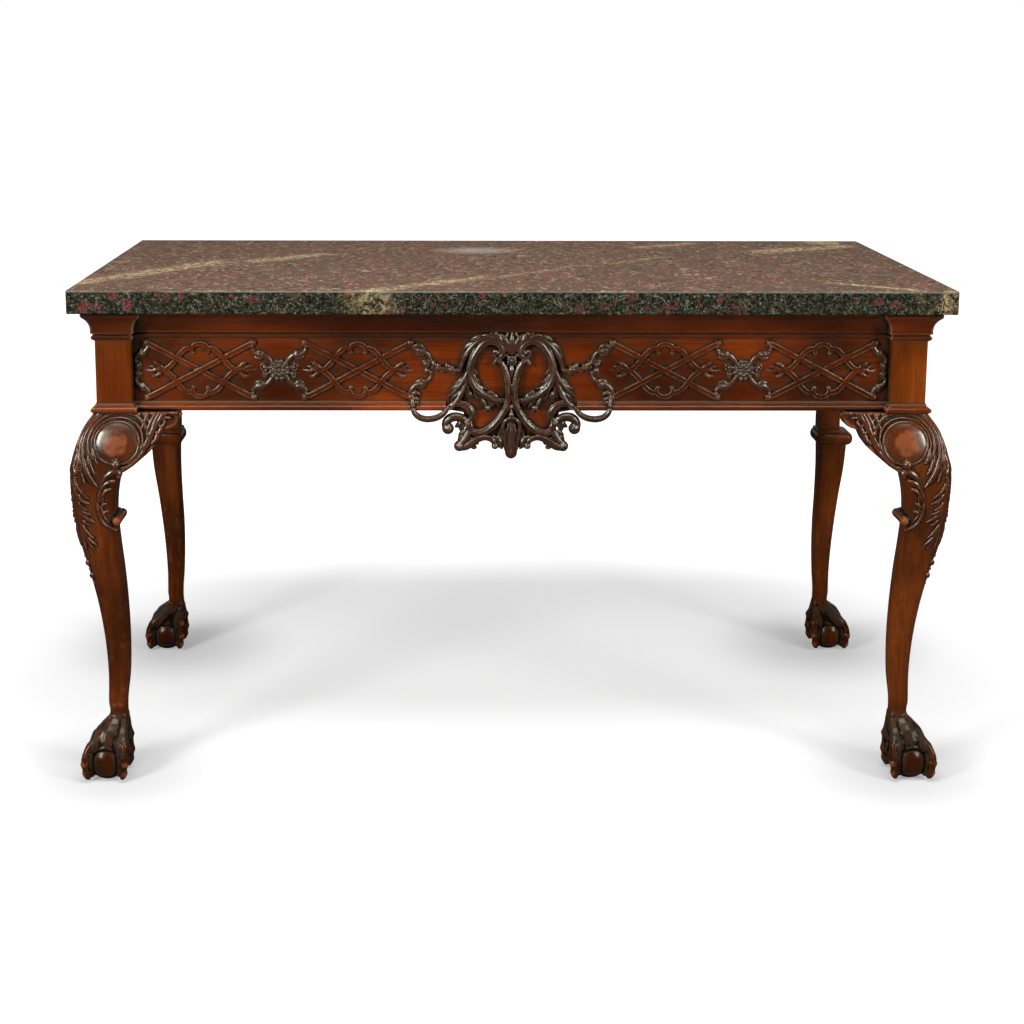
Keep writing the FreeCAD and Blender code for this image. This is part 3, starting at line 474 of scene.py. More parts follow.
stone = {"dark": (0.0075, 0.0090, 0.0055), "green": (0.060, 0.057, 0.034), "fleck": (0.36, 0.34, 0.23),
         "garnet": (0.085, 0.016, 0.017), "garnetLight": (0.22, 0.075, 0.066), "cream": (0.66, 0.52, 0.28),
         "ochre": (0.46, 0.33, 0.15), "sheenBrown": (0.228, 0.128, 0.084), "rose": (0.36, 0.115, 0.088),
         "straw": (0.66, 0.53, 0.35), "bloom": (0.62, 0.57, 0.50), "arrisHighlight": (0.24, 0.29, 0.24),
         # how far the patterns wander, in metres
         "wander": 0.030,
         # spots: cells to the metre, the share of them that holds one, least and most radius in cells
         "flecks": (420.0, 0.42, 0.05, 0.45),
         "garnets": ((44.0, 0.42, 0.16, 0.50), (95.0, 0.30, 0.10, 0.46)),
         # chips in the polished top: cells to the metre, share, colour and strength
         "chips": ((60.0, 0.40, "rose", 0.58), (90.0, 0.30, "dark", 0.62), (100.0, 0.22, "straw", 0.36),
                   (150.0, 0.30, "rose", 0.7), (190.0, 0.22, "straw", 0.6)),
         "chipSize": (0.15, 0.75), "chipStretch": (1, 0.6, 1),
         # veins in plan: two ends and half width, in metres, and their strength
         "veins": (((-0.74, -0.28), (-0.50, 0.05), 0.030, 0.85), ((-0.47, 0.02), (-0.32, 0.16), 0.026, 0.8),
                   ((-0.27, -0.39), (-0.02, -0.17), 0.022, 0.8), ((-0.02, -0.20), (0.14, -0.03), 0.012, 0.6),
                   ((0.27, 0.25), (0.42, 0.34), 0.022, 0.7), ((0.50, 0.18), (0.73, 0.30), 0.030, 0.9),
                   ((0.20, 0.00), (0.33, 0.12), 0.010, 0.6), ((0.55, -0.24), (0.70, -0.34), 0.012, 0.8)),
         "veinFeather": 1.7,
         "patches": (((0.735, -0.365, 0.842), 0.034), ((0.70, -0.375, 0.83), 0.020),
                     ((0.66, 0.33, 0.864), 0.05)),
         "bloomPlace": (-0.05, 0.19, 0.864), "bloomReach": (0.10, 0.07, 1),
         # heights at which the painted highlight on the upper edge and the polished top begin
         "edgeHeights": (0.8602, 0.8614), "topHeights": (0.8622, 0.8638)}
# the stone's patterns: how fine they are, detail, roughness and distortion
stoneNoise = {"mottle": (210.0, 5.0, 0.66), "broad": (9.0, 3.0, 0.55), "lace": (105.0, 6.0, 0.7, 1.2),
              "crumble": (240.0, 4.0, 0.65), "zone": (5.0, 3.0, 0.6), "polish": (22.0, 4.0, 0.6)}
# the dull polish reflects about half as much as clean glass would
stonePolish = {"coat": 0.5, "coatIOR": 1.31, "roughness": (0.36, 0.50), "bump": 0.12, "bumpDistance": 0.0005}


def veinMask(tree, coords, start, end, halfWidth):
    # 1 along the middle of a vein in plan, fading at its sides and ends
    placed = addNode(tree, "ShaderNodeMapping", vector_type="TEXTURE")
    feedAll(tree, placed, {"Vector": coords, "Location": (*start, 0),
                           "Rotation": (0, 0, math.atan2(end[1] - start[1], end[0] - start[0])),
                           "Scale": (math.dist(start, end), halfWidth, 1)})
    run, side = axes(tree, placed.outputs[0])[:2]
    across = spread(tree, maths(tree, "ABSOLUTE", side, 0.0), 1.0, 0.1)
    return times(tree, across, spread(tree, run, -0.12, 0.12), spread(tree, run, 1.12, 0.88))


def allVeins(tree, coords, bent):
    veins = None
    for start, end, halfWidth, strength in stone["veins"]:
        one = times(tree, veinMask(tree, coords, start, end, halfWidth * stone["veinFeather"]), strength)
        veins = one if veins is None else maths(tree, "MAXIMUM", veins, one)
    for place, reach in stone["patches"]:
        away = vectorMaths(tree, "DISTANCE", bent, place)
        veins = maths(tree, "MAXIMUM", veins, spread(tree, away, reach, reach * 0.5))
    return veins


def stoneSpots(tree, coords, scale, share, low, high):
    # rounded spots in a random part of the cells of a pattern, and a random tone for each
    cells = addNode(tree, "ShaderNodeTexVoronoi")
    feedAll(tree, cells, {"Vector": coords, "Scale": scale})
    chance, size, tone = axes(tree, cells.outputs["Color"])[:3]
    chosen = spread(tree, chance, 1 - share - 0.02, 1 - share + 0.02)
    gap = maths(tree, "SUBTRACT", spread(tree, size, 0.0, 1.0, low, high), cells.outputs["Distance"])
    return times(tree, chosen, spread(tree, gap, -0.06, 0.10)), tone


def marbleMaterial():
    # dark green stone with pale flecks, clouds of garnet, and cream veins across the slab
    mat, tree, bsdf = newMaterial("marble")
    coords = addNode(tree, "ShaderNodeTexCoord").outputs["Object"]
    wander = addNode(tree, "ShaderNodeTexNoise")
    feedAll(tree, wander, {"Vector": coords, "Scale": 26.0, "Detail": 4.0})
    shifted = vectorMaths(tree, "MULTIPLY_ADD", wander.outputs["Color"], (stone["wander"],) * 3, coords)
    bent = stretched(tree, shifted, (1, 1, 1), (-stone["wander"] / 2,) * 3)
    mottle, broad, crumble = (noise(tree, coords, *stoneNoise[key]) for key in ("mottle", "broad", "crumble"))
    lace = noise(tree, bent, *stoneNoise["lace"])
    colour = blendColour(tree, spread(tree, mottle, 0.46, 0.64), stone["dark"], stone["green"])
    # small pale flecks, thicker in some clouds than in others
    flecks, tone = stoneSpots(tree, shifted, *stone["flecks"])
    grey = blendColour(tree, tone, stone["green"], stone["fleck"])
    colour = blendColour(tree, times(tree, flecks, spread(tree, broad, 0.3, 0.6, 0.45, 0.95)), colour, grey)
    colour = blendColour(tree, times(tree, spread(tree, lace, 0.55, 0.64), 0.45), colour, stone["fleck"])
    # garnets, large and small
    zone = spread(tree, noise(tree, coords, *stoneNoise["zone"]), 0.36, 0.56, 0.35, 1.0)
    red = blendColour(tree, spread(tree, crumble, 0.42, 0.68), stone["garnet"], stone["garnetLight"])
    for size in stone["garnets"]:
        spots = stoneSpots(tree, bent, *size)[0]
        mask = times(tree, spots, zone, spread(tree, crumble, 0.36, 0.50, 0.12, 1.0))
        colour = blendColour(tree, mask, colour, red)
    # the top is painted browner and lighter than the edges, a painted sheen of its polish, and has chips in
    # it
    height = axes(tree, coords)[2]
    upper = spread(tree, height, *stone["topHeights"])
    topSheen = times(tree, upper, spread(tree, mottle, 0.3, 0.6, 0.85, 0.45))
    colour = blendColour(tree, topSheen, colour, stone["sheenBrown"])
    for scale, share, key, amount in stone["chips"]:
        flattened = stretched(tree, bent, stone["chipStretch"])
        chips = stoneSpots(tree, flattened, scale, share, *stone["chipSize"])[0]
        chips = times(tree, chips, spread(tree, lace, 0.40, 0.58, 0.15, 1.0),
                      spread(tree, broad, 0.3, 0.6, 0.5, 1.0), upper, amount)
        colour = blendColour(tree, chips, colour, stone[key])
    # cream and ochre veins, broken up
    veins = allVeins(tree, shifted, bent)
    broken = times(tree, veins, spread(tree, lace, 0.42, 0.58),
                   spread(tree, crumble, 0.38, 0.56, 0.25, 1.0), 0.8)
    yellow = blendColour(tree, spread(tree, broad, 0.42, 0.6), stone["cream"], stone["ochre"])
    colour = blendColour(tree, broken, colour, yellow)
    core = times(tree, spread(tree, veins, 0.45, 0.8), spread(tree, lace, 0.46, 0.60), upper)
    colour = blendColour(tree, core, colour, stone["cream"])
    # a pale bloom on the top
    place = tuple(-p / r for p, r in zip(stone["bloomPlace"], stone["bloomReach"]))
    squeezed = stretched(tree, coords, tuple(1 / r for r in stone["bloomReach"]), place)
    far = vectorMaths(tree, "LENGTH", squeezed)
    pale = times(tree, spread(tree, far, 1.1, 0.1), spread(tree, lace, 0.3, 0.6, 0.2, 0.6), upper)
    colour = blendColour(tree, pale, colour, stone["bloom"])
    # a painted highlight along the upper edge
    arrisHighlight = times(tree, spread(tree, height, *stone["edgeHeights"]), maths(tree, "SUBTRACT", 1.0, upper),
                  spread(tree, broad, 0.3, 0.6, 0.15, 0.7))
    colour = blendColour(tree, arrisHighlight, colour, stone["arrisHighlight"])
    rough = spread(tree, noise(tree, coords, *stoneNoise["polish"]), 0.3, 0.7, *stonePolish["roughness"])
    feedAll(tree, bsdf, {"Base Color": colour, "Coat Roughness": rough, "Specular IOR Level": 0.0,
                         "Coat Weight": stonePolish["coat"], "Coat IOR": stonePolish["coatIOR"]})
    addBump(tree, bsdf, mottle, stonePolish["bump"], stonePolish["bumpDistance"])
    return mat


front = {"along": "x", "figure": 1.0}
end = {"along": "y", "figure": 1.0}
rail = {"figure": 1.35, "shade": 0.92}
# painted shade: the cornice's wood is darker than the rails', for the shade under the slab; its edges pale,
# partly a painted highlight
shadedMoulding = {"shade": 0.62, "tones": moulded, "edged": 0.42}
# painted light: the base moulding is lighter than the rails, for the light on its roll, and glossier
litBaseMoulding = {"shade": 1.05, "polish": (0.12, 0.24), "gloss": 0.6, "edged": 0.35}
carvedGloss = {"carved": True, "polish": (0.25, 0.38), "coat": 0.45, "gloss": 0.85, "relief": 1.2}
secondary = {"figure": 0.5, "tones": poplar, "polish": (0.55, 0.72), "coat": 0.0}
woodFinishes = {
    "railWood": {**front, **rail},
    "endWood": {**end, **rail},
    # painted light: the board behind the cartouche is about twice as light as the rails, against the shade
    # that the scrolls cast on it
    "litBoardWood": {**front, "shade": 1.9, "tones": fretTones},
    "frontMoulding": {**front, **shadedMoulding},
    "endMoulding": {**end, **shadedMoulding},
    "frontBase": {**front, **litBaseMoulding},
    "endBase": {**end, **litBaseMoulding},
    "legWood": {"along": "z", "figure": 1.15, "shade": 0.72, "carved": True, "tones": legTones, "coat": 0.15,
                "gloss": 0.30, "head": 0.650},
    "fretWood": {"along": "x", "figure": 0.8, "shade": 0.66, "carved": True, "tones": fretTones,
                 "relief": 1.8},
    "carvedWood": {"along": "x", "figure": 0.6, "shade": 0.44, "tones": waxed, **carvedGloss},
    "dustyWood": {"along": "x", "figure": 0.6, "shade": 0.50, "tones": dusted, **carvedGloss},
    "kneeWood": {"along": "z", "figure": 0.6, "shade": 0.50, "carved": True, "tones": kneeTones,
                 "polish": (0.20, 0.33), "coat": 0.45, "gloss": 0.75, "relief": 1.6},
    "poplarLong": {"along": "x", **secondary},
    "poplarDeep": {"along": "y", **secondary},
    "poplarUpright": {"along": "z", **secondary}}
finishes = {name: woodMaterial(name, **settings) for name, settings in woodFinishes.items()}
finishes["marble"] = marbleMaterial()
print("finishes ready")


# drawing in relief: strokes with a section, laid on a surface and fused

sections = {
    "round": [(-1, 0), (-.7, .7), (0, 1), (.7, .7), (1, 0), (.7, -.7), (0, -1), (-.7, -.7)],
    "leaf": [(-1, -.7), (-.95, -.1), (-.55, .4), (0, .62), (.55, .4), (.95, -.1), (1, -.7)],
    "band": [(-1, -1), (-1, .18), (-.88, .36), (-.74, .3), (-.62, .16), (-.34, .5), (0, .62), (.34, .5),
             (.62, .16), (.74, .3), (.88, .36), (1, .18), (1, -1)],
    "strap": [(-1, -1.2), (-1, .56), (-.84, .72), (.84, .72), (1, .56), (1, -1.2)],
}
# each relief: how full its strokes are, its voxels in mm, and the rounds of softening that find its hollows
reliefs = {"kneeFront": (1.5, 0.95, 8), "kneeSide": (1.0, 0.95, 8), "fret": (1.12, 0.92, 8),
           "rosette": (1.45, 0.75, 8), "endScroll": (1.45, 0.9, 8), "scrolls": (1.3, 1.15, 10),
           "crown": (1.2, 1.0, 10), "pendant": (1.12, 1.1, 10), "stalk": (1.45, 0.95, 8),
           "swag": (1.15, 1.0, 8)}


def sectionCurve(kind):
    name = "section_" + kind
    if name in bpy.data.objects:
        return bpy.data.objects[name]
    data = bpy.data.curves.new(name, "CURVE")
    data.dimensions = "2D"
    spline = data.splines.new("POLY")
    spline.points.add(len(sections[kind]) - 1)
    for point, (x, y) in zip(spline.points, sections[kind]):
        point.co = (x, y, 0, 1)
    spline.use_cyclic_u = True
    return linked(name, data)


def sharedRadii(widths, count):
    if isinstance(widths, (int, float)):
        return [widths] * count
    steps = np.linspace(0, len(widths) - 1, count)
    return list(np.interp(steps, range(len(widths)), widths))


def drawLines(name, kind, lines, full):
    data = bpy.data.curves.new(name, "CURVE")
    data.dimensions = "3D"
    data.twist_mode = "Z_UP"
    data.resolution_u = 5
    data.bevel_mode = "OBJECT"
    data.bevel_object = sectionCurve(kind)
    data.use_fill_caps = True
    for _, points, widths in lines:
        spline = data.splines.new("BEZIER")
        spline.bezier_points.add(len(points) - 1)
        for knot, place, width in zip(spline.bezier_points, points, sharedRadii(widths, len(points))):
            height = place[2] if len(place) > 2 else 0.0
            knot.co = (place[0] * mm, place[1] * mm, height * mm)
            knot.handle_left_type = knot.handle_right_type = "AUTO"
            knot.radius = width * full * mm
    return linked(name, data)


def drawBlobs(name, blobs, full):
    bm = bmesh.new()
    for _, place, radii in blobs:
        sizes = [r * (1 + full) / 2 * mm for r in (radii if isinstance(radii, tuple) else (radii,) * 3)]
        turn = Matrix.Translation([c * mm for c in place]) @ Matrix.Diagonal((*sizes, 1))
        bmesh.ops.create_icosphere(bm, subdivisions=3 if max(sizes) < 0.02 else 5, radius=1, matrix=turn)
    return fromBmesh(name, bm)


def drawStrokes(name, strokes, full=1.0):
    # strokes are (section, points, half widths) in mm, blobs ("blob", place, radii); full widens them all
    made = []
    for kind in sections:
        lines = [s for s in strokes if s[0] == kind]
        if lines:
            made.append(drawLines(name, kind, lines, full))
    blobs = [s for s in strokes if s[0] == "blob"]
    if blobs:
        made.append(drawBlobs(name, blobs, full))
    choose(made)
    bpy.ops.object.convert(target="MESH")
    if len(made) > 1:
        bpy.ops.object.join()
    obj = bpy.context.object
    obj.name = name
    return obj


def layOn(obj, surface):
    # surface takes x, y and height in mm, and gives world places in mm
    co = readPoints(obj) / mm
    writePoints(obj, np.stack(surface(co[:, 0], co[:, 1], co[:, 2]), axis=1) * mm)


def applyModifier(obj, name, kind, **settings):
    modifier = obj.modifiers.new(name, kind)
    for key, value in settings.items():
        setattr(modifier, key, value)
    bpy.ops.object.modifier_apply(modifier=name)


def fuse(obj, voxel, softening):
    choose([obj])
    applyModifier(obj, "fuse", "REMESH", mode="VOXEL", voxel_size=voxel * mm)
    applyModifier(obj, "soften", "SMOOTH", factor=0.5, iterations=softening)
    bpy.ops.object.shade_smooth()


def editAll(obj, operator, **settings):
    choose([obj])
    bpy.ops.object.mode_set(mode="EDIT")
    bpy.ops.mesh.select_all(action="SELECT")
    operator(**settings)
    bpy.ops.object.mode_set(mode="OBJECT")


def trimBelow(obj, place, normal):
    # cut away what lies behind a plane and close the cut
    editAll(obj, bpy.ops.mesh.bisect, plane_co=place, plane_no=normal, use_fill=True, clear_inner=True)


def markHollows(obj, rounds):
    # how far each point lies below (+) or above (-) its softened surroundings, in mm
    data = obj.data
    count = len(data.vertices)
    ends = np.empty(len(data.edges) * 2, int)
    data.edges.foreach_get("vertices", ends)
    ends = ends.reshape(-1, 2)
    start = readPoints(obj)
    normals = np.empty(count * 3)
    data.vertices.foreach_get("normal", normals)
    normals = normals.reshape(-1, 3)
    share = np.bincount(ends.ravel(), minlength=count).astype(float)
    share[share == 0] = 1
    soft = start.copy()
    for _ in range(rounds):
        summed = np.zeros_like(soft)
        for axis in range(3):
            summed[:, axis] = (np.bincount(ends[:, 0], soft[ends[:, 1], axis], count)
                               + np.bincount(ends[:, 1], soft[ends[:, 0], axis], count))
        soft = summed / share[:, None]
    writeHollow(obj, ((soft - start) * normals).sum(axis=1) / mm)


def carve(name, strokes, surface, behind=None):
    # a relief: drawn flat, laid on its surface, fused, and trimmed to the plane that it is glued to
    full, voxel, rounds = reliefs[name]
    obj = drawStrokes(name, strokes, full)
    layOn(obj, surface)
    fuse(obj, voxel, 1)
    if behind:
        trimBelow(obj, *behind)
    markHollows(obj, rounds)
    return obj


def finishPiece(obj, name, material, replaced=()):
    writePoints(obj, np.clip(readPoints(obj), cadLow, cadHigh))
    obj.name = name
    obj.data.name = name
    obj.data.materials.clear()
    obj.data.materials.append(material)
    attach(obj, "root")
    for node in replaced:
        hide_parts(node)


def copyOf(obj, name, shift):
    data = obj.data.copy()
    data.transform(Matrix.Translation([s * mm for s in shift]))
    return linked(name, data)


def bothEnds(obj, base, material, replaced=()):
    # the piece and its twin at the other end of the table
    data = obj.data.copy()
    data.transform(Matrix.Scale(-1, 4, (1, 0, 0)))
    data.flip_normals()
    other = linked(base + "_left_carved", data)
    finishPiece(obj, base + "_right_carved", material, [r + "_right" for r in replaced])
    finishPiece(other, base + "_left_carved", material, [r + "_left" for r in replaced])


def reflected(strokes, signX=1, signY=1):
    # the same strokes with x or y the other way round
    made = []
    for kind, points, widths in strokes:
        if kind == "blob":
            made.append((kind, (signX * points[0], signY * points[1], *points[2:]), widths))
        else:
            made.append((kind, [(signX * p[0], signY * p[1], *p[2:]) for p in points], widths))
    return made


def mirrored(strokes):
    return strokes + reflected(strokes, signX=-1)


def onBoard(board, x, y):
    # a place in the drawing board's units, in mm
    return (board["middle"] + (x - board["boardX"]) * board["wide"],
            board["height"] - (y - board["boardY"]) * board["high"])


def fromBoard(board, lines):
    made = []
    for kind, points, widths in lines:
        if kind == "blob":
            made.append((kind, (*onBoard(board, *points[:2]), points[2]), widths))
        else:
            made.append((kind, [(*onBoard(board, *p[:2]), p[2] if len(p) > 2 else board["lie"])
                                for p in points], widths))
    return made


def volute(x, y, radius, start, turns, width, height, clockwise, eye):
    # a spiral that winds in from its start angle to an eye
    steps = max(6, int(turns * 8))
    points = []
    for k in range(steps + 1):
        share = k / steps
        angle = math.radians(start) + (-1 if clockwise else 1) * share * turns * 2 * math.pi
        reach = radius * (1 - 0.72 * share)
        points.append((x + reach * math.cos(angle), y + reach * math.sin(angle),
                       height * (0.6 + 0.6 * share)))
    return [("leaf", points, (width, width * 0.6)), ("blob", (x, y, height * 0.9), (eye, eye, eye))]


def sawnBoard(name, outline, thickness):
    # an outline in mm, sawn through a board that lies flat
    bm = bmesh.new()
    flat = bm.faces.new([bm.verts.new((x * mm, y * mm, 0)) for x, y in outline])
    raised = bmesh.ops.extrude_face_region(bm, geom=[flat])["geom"]
    corners = [v for v in raised if isinstance(v, bmesh.types.BMVert)]
    bmesh.ops.translate(bm, vec=(0, 0, thickness * mm), verts=corners)
    bmesh.ops.recalc_face_normals(bm, faces=bm.faces)
    return fromBmesh(name, bm)


# legs

# where the frame's faces are, in mm
table = {"halfX": 702, "halfY": 325, "railFoot": 650, "railTop": 824, "friezeY": -303, "friezeMiddle": 719.5}
# stations are height, swell, width and corner radius
frontLeg = {"stations": [(650, 4, 63, 12), (622, 25, 78, 15), (590, 38, 85, 18), (555, 45.5, 85, 19),
                         (520, 46.5, 79, 19), (480, 43.5, 73, 18), (430, 34, 66, 17), (370, 20.5, 57.5, 17),
                         (300, 7.5, 48, 16), (235, 0, 41.5, 15), (180, -2.5, 37, 14), (130, -1.5, 33, 14)],
            "depthShare": 0.75, "block": 60, "blockEdge": 1.0,
            # how much deeper the plain face lies under the knee's relief, and the heights (with the length
            # of the change) between which it does
            "carvedTrim": 2.4, "trimFrom": (440, 60), "trimTo": (652, 40)}
rearLeg = {**frontLeg,
           "stations": [(462, 19, 58, 13), (400, 15, 53.5, 15), (340, 6, 47.5, 16), (280, -2, 43, 15),
                        (225, -7, 38.5, 14), (175, -9, 34.5, 14), (130, -8, 32, 14)],
           "depthShare": 1.0, "block": 42, "carvedTrim": 0.0,
           "collar": {"low": (-48, -48, 448.5), "high": (28, 28, 475.5), "edge": 12.0},
           "fillet": {"low": (-46, -46, 474), "high": (4, 4, 481), "edge": 1.5}}
# the rolls across the knee, with a small boss at the end of each
roll = {"height": 468, "swell": 43.5, "width": 73.0, "widths": (6.6, 8.2, 8.0, 8.2),
        "boss": 4.2, "bossDepth": 2.6}
# how the legs are fused, and how handling shows on the feet: below a height, rubbed near a place just
# outside each knob, darker between the toes
fused = {"voxel": 1.75, "softening": 3, "rounds": 14, "sharpFrom": 50}
handled = {"below": 118, "ease": 22, "reach": 8.5, "out": 4, "up": 1, "ballSkin": 0.6, "dark": 0.20}
# the skin over the ball: height, share of the ankle's lean, half width; then each toe's steps out
# from the ball's middle, with height and half width
foot = {"ball": 35, "ballHeight": 32, "toeRoot": 13,
        "skin": [(106, 1.0, 16.5), (92, 0.72, 23), (78, 0.33, 28.5), (66, 0.08, 30), (57, 0, 30)],
        "knuckles": [(33.4, 110, 2.4), (33.4, 99, 3.4), (33.4, 87, 4.4), (33.4, 75, 5.4), (33.4, 63.5, 8.4),
                     (33.4, 54, 6.0), (33.4, 46, 6.2), (33.4, 34.5, 8.4), (32.8, 25.5, 6.2), (32.0, 17, 7.4),
                     (30.0, 10, 5.8), (27.5, 6.0, 3.8)],
        # a knuckle wider than this has a knob
        "knob": 6.5, "webShare": 0.24, "webWidths": (8, 10.5, 12, 12.5, 10),
        "palm": [(22, 66), (27, 50), (28, 36), (27, 22), (22, 8)], "palmWidths": (6.5, 7.5, 7.5, 6.5, 4),
        # skin stretched between toes: steps out, height and share of the ankle's lean
        "stretch": [(4, 104, 0.95), (8, 90, 0.6), (13.5, 77, 0.25), (19.5, 66, 0.06), (24, 57.5, 0)],
        "stretchWidths": (10, 14, 15, 11, 5),
        "lip": {"radius": 27.6, "height": 57.5, "rise": 3.5, "width": 2.0}}


def ankleLean(leg):
    # how far the middle of the ankle stands from the foot's
    _, swell, width, _ = leg["stations"][-1]
    return swell - width / 2


def stationTable(leg):
    # swell, width and corner radius at every millimetre of height, eased between the stations
    lean = ankleLean(leg)
    flare = [(z, lean * share, half) for z, share, half in foot["skin"]]
    rows = [(z, shift + h, 2 * h, h * 0.85) for z, shift, h in flare] + list(leg["stations"])
    rows = np.array(sorted(rows), float)
    slopes = np.gradient(rows, rows[:, 0], axis=0)
    heights = np.arange(rows[0, 0], rows[-1, 0] + 0.5, 1.0)
    columns = []
    for k in (1, 2, 3):
        i = np.clip(np.searchsorted(rows[:, 0], heights, side="right") - 1, 0, len(rows) - 2)
        gap = rows[i + 1, 0] - rows[i, 0]
        t = (heights - rows[i, 0]) / gap
        columns.append((2 * t**3 - 3 * t**2 + 1) * rows[i, k] + (t**3 - 2 * t**2 + t) * gap * slopes[i, k]
                       + (3 * t**2 - 2 * t**3) * rows[i + 1, k] + (t**3 - t**2) * gap * slopes[i + 1, k])
    (low, lowEase), (high, highEase) = leg["trimFrom"], leg["trimTo"]
    trim = leg["carvedTrim"] * np.clip((heights - low) / lowEase, 0, 1)
    trim = trim * np.clip((high - heights) / highEase, 0, 1)
    for k in (0, 1):
        columns[k] = columns[k] - trim
    return heights, columns


def stationAt(tableRows, z):
    heights, columns = tableRows
    return [np.interp(z, heights, column) for column in columns]


frontTable, rearTable = stationTable(frontLeg), stationTable(rearLeg)


def roundedSquare(x, y, z, radius, facing, perCorner=9):
    # a ring between two values of x and two of y
    ring = []
    for cx, cy, first in ((x[1] - radius, y[1] - radius, 0), (x[0] + radius, y[1] - radius, 90),
                          (x[0] + radius, y[0] + radius, 180), (x[1] - radius, y[0] + radius, 270)):
        for k in range(perCorner):
            a = math.radians(first + 90 * k / (perCorner - 1))
            ring.append(((cx + radius * math.cos(a)) * mm, facing * (cy + radius * math.sin(a)) * mm, z * mm))
    return ring


def shaft(name, leg, rows, facing):
    # rings of a rounded square, joined into a closed skin
    heights = np.append(np.arange(rows[0][0], rows[0][-1], 5.0), rows[0][-1])
    bm = bmesh.new()
    rings = []
    for z, s, w, r in zip(heights, *stationAt(rows, heights)):
        x = (table["halfX"] + s - w, table["halfX"] + s)
        y = (table["halfY"] + s - w, table["halfY"] + (s * leg["depthShare"] if s > 0 else s))
        r = min(r, (x[1] - x[0]) * 0.49, (y[1] - y[0]) * 0.49)
        rings.append([bm.verts.new(place) for place in roundedSquare(x, y, z, r, facing)])
    for low, high in zip(rings[:-1], rings[1:]):
        for k in range(len(low)):
            n = (k + 1) % len(low)
            bm.faces.new((low[k], low[n], high[n], high[k]))
    bm.faces.new(rings[0][::-1])
    bm.faces.new(rings[-1])
    bmesh.ops.recalc_face_normals(bm, faces=bm.faces)
    return fromBmesh(name, bm)


def toeStrokes(leg, facing, sx, sy):
    # one jointed toe with its nail, the web behind it and the palm against the ball
    cx, cy = table["halfX"], facing * table["halfY"]
    lean = ankleLean(leg)
    toes, widths, strokes = [], [], []
    for step, z, width in foot["knuckles"]:
        share = np.clip((z - 45) / 60, 0, 1)
        share = share * share * (3 - 2 * share)
        x = cx + (1 - share) * sx * step + share * (lean + sx * foot["toeRoot"])
        y = cy + (1 - share) * sy * step + share * (facing * lean + sy * foot["toeRoot"])
        toes.append((x, y, z))
        widths.append(width)
        if width > foot["knob"]:
            strokes.append(("blob", (x, y, z), (width, width, width * 0.86)))
    strokes.append(("round", toes, widths))
    inward = foot["webShare"]
    web = [(x + (cx + lean * shift - x) * inward, y + (cy + facing * lean * shift - y) * inward, z)
           for (x, y, z), shift in zip(toes[1:6], (1.0, 0.7, 0.35, 0.1, 0.0))]
    strokes.append(("round", web, foot["webWidths"]))
    strokes.append(("round", [(cx + sx * s, cy + sy * s, z) for s, z in foot["palm"]], foot["palmWidths"]))
    return strokes


def clawFoot(leg, facing):
    # ball, four toes, and the skin between them with its lip
    cx, cy = table["halfX"], facing * table["halfY"]
    lean = ankleLean(leg)
    strokes = [("blob", (cx, cy, foot["ballHeight"]), foot["ball"])]
    for sx in (1, -1):
        for sy in (1, -1):
            strokes += toeStrokes(leg, facing, sx, sy)
    for k in range(16):
        # the toes stand where this leaves gaps
        if k % 4 != 2:
            a = math.pi * k / 8
            skin = [(cx + lean * share + out * math.cos(a), cy + facing * lean * share + out * math.sin(a), z)
                    for out, z, share in foot["stretch"]]
            strokes.append(("round", skin, foot["stretchWidths"]))
    lip, ring = foot["lip"], []
    for k in range(33):
        a = 2 * math.pi * k / 32
        ring.append((cx + lip["radius"] * math.cos(a), cy + lip["radius"] * math.sin(a),
                     lip["height"] + lip["rise"] * math.cos(4 * a)))
    strokes.append(("round", ring, lip["width"]))
    return drawStrokes("clawFoot", strokes)


def kneeRolls():
    z, swell, boss, deep = roll["height"], roll["swell"], roll["boss"], roll["bossDepth"]
    inner = table["halfX"] + swell - roll["width"]
    backY = -(table["halfY"] + swell - roll["width"])
    frontY = -(table["halfY"] + swell * frontLeg["depthShare"]) - 1.0
    sideX = table["halfX"] + swell + 1.0
    x, y = inner - 4, backY + 4
    return [("round", [(x, frontY, z), (x, frontY + 6, z), (x, (frontY + backY) / 2, z), (x, backY, z)],
             roll["widths"]),
            ("blob", (x, frontY - 0.4, z), (boss, deep, boss)),
            ("round", [(sideX, y, z), (sideX - 6, y, z), ((sideX + inner) / 2, y, z), (inner, y, z)],
             roll["widths"]),
            ("blob", (sideX + 0.4, y, z), (deep, boss, boss))]


def squaredBlock(name, low, high, edge):
    deselect()
    bpy.ops.mesh.primitive_cube_add(size=1, location=[(a + b) / 2 * mm for a, b in zip(low, high)])
    obj = bpy.context.object
    obj.name = name
    obj.scale = [(b - a) * mm for a, b in zip(low, high)]
    bpy.ops.object.transform_apply(location=True, rotation=False, scale=True)
    applyModifier(obj, "edges", "BEVEL", width=edge * mm, segments=6 if edge > 3 else 3)
    return obj


def joinPieces(pieces, name):
    choose(pieces)
    bpy.ops.object.join()
    obj = bpy.context.object
    obj.name = name
    return obj


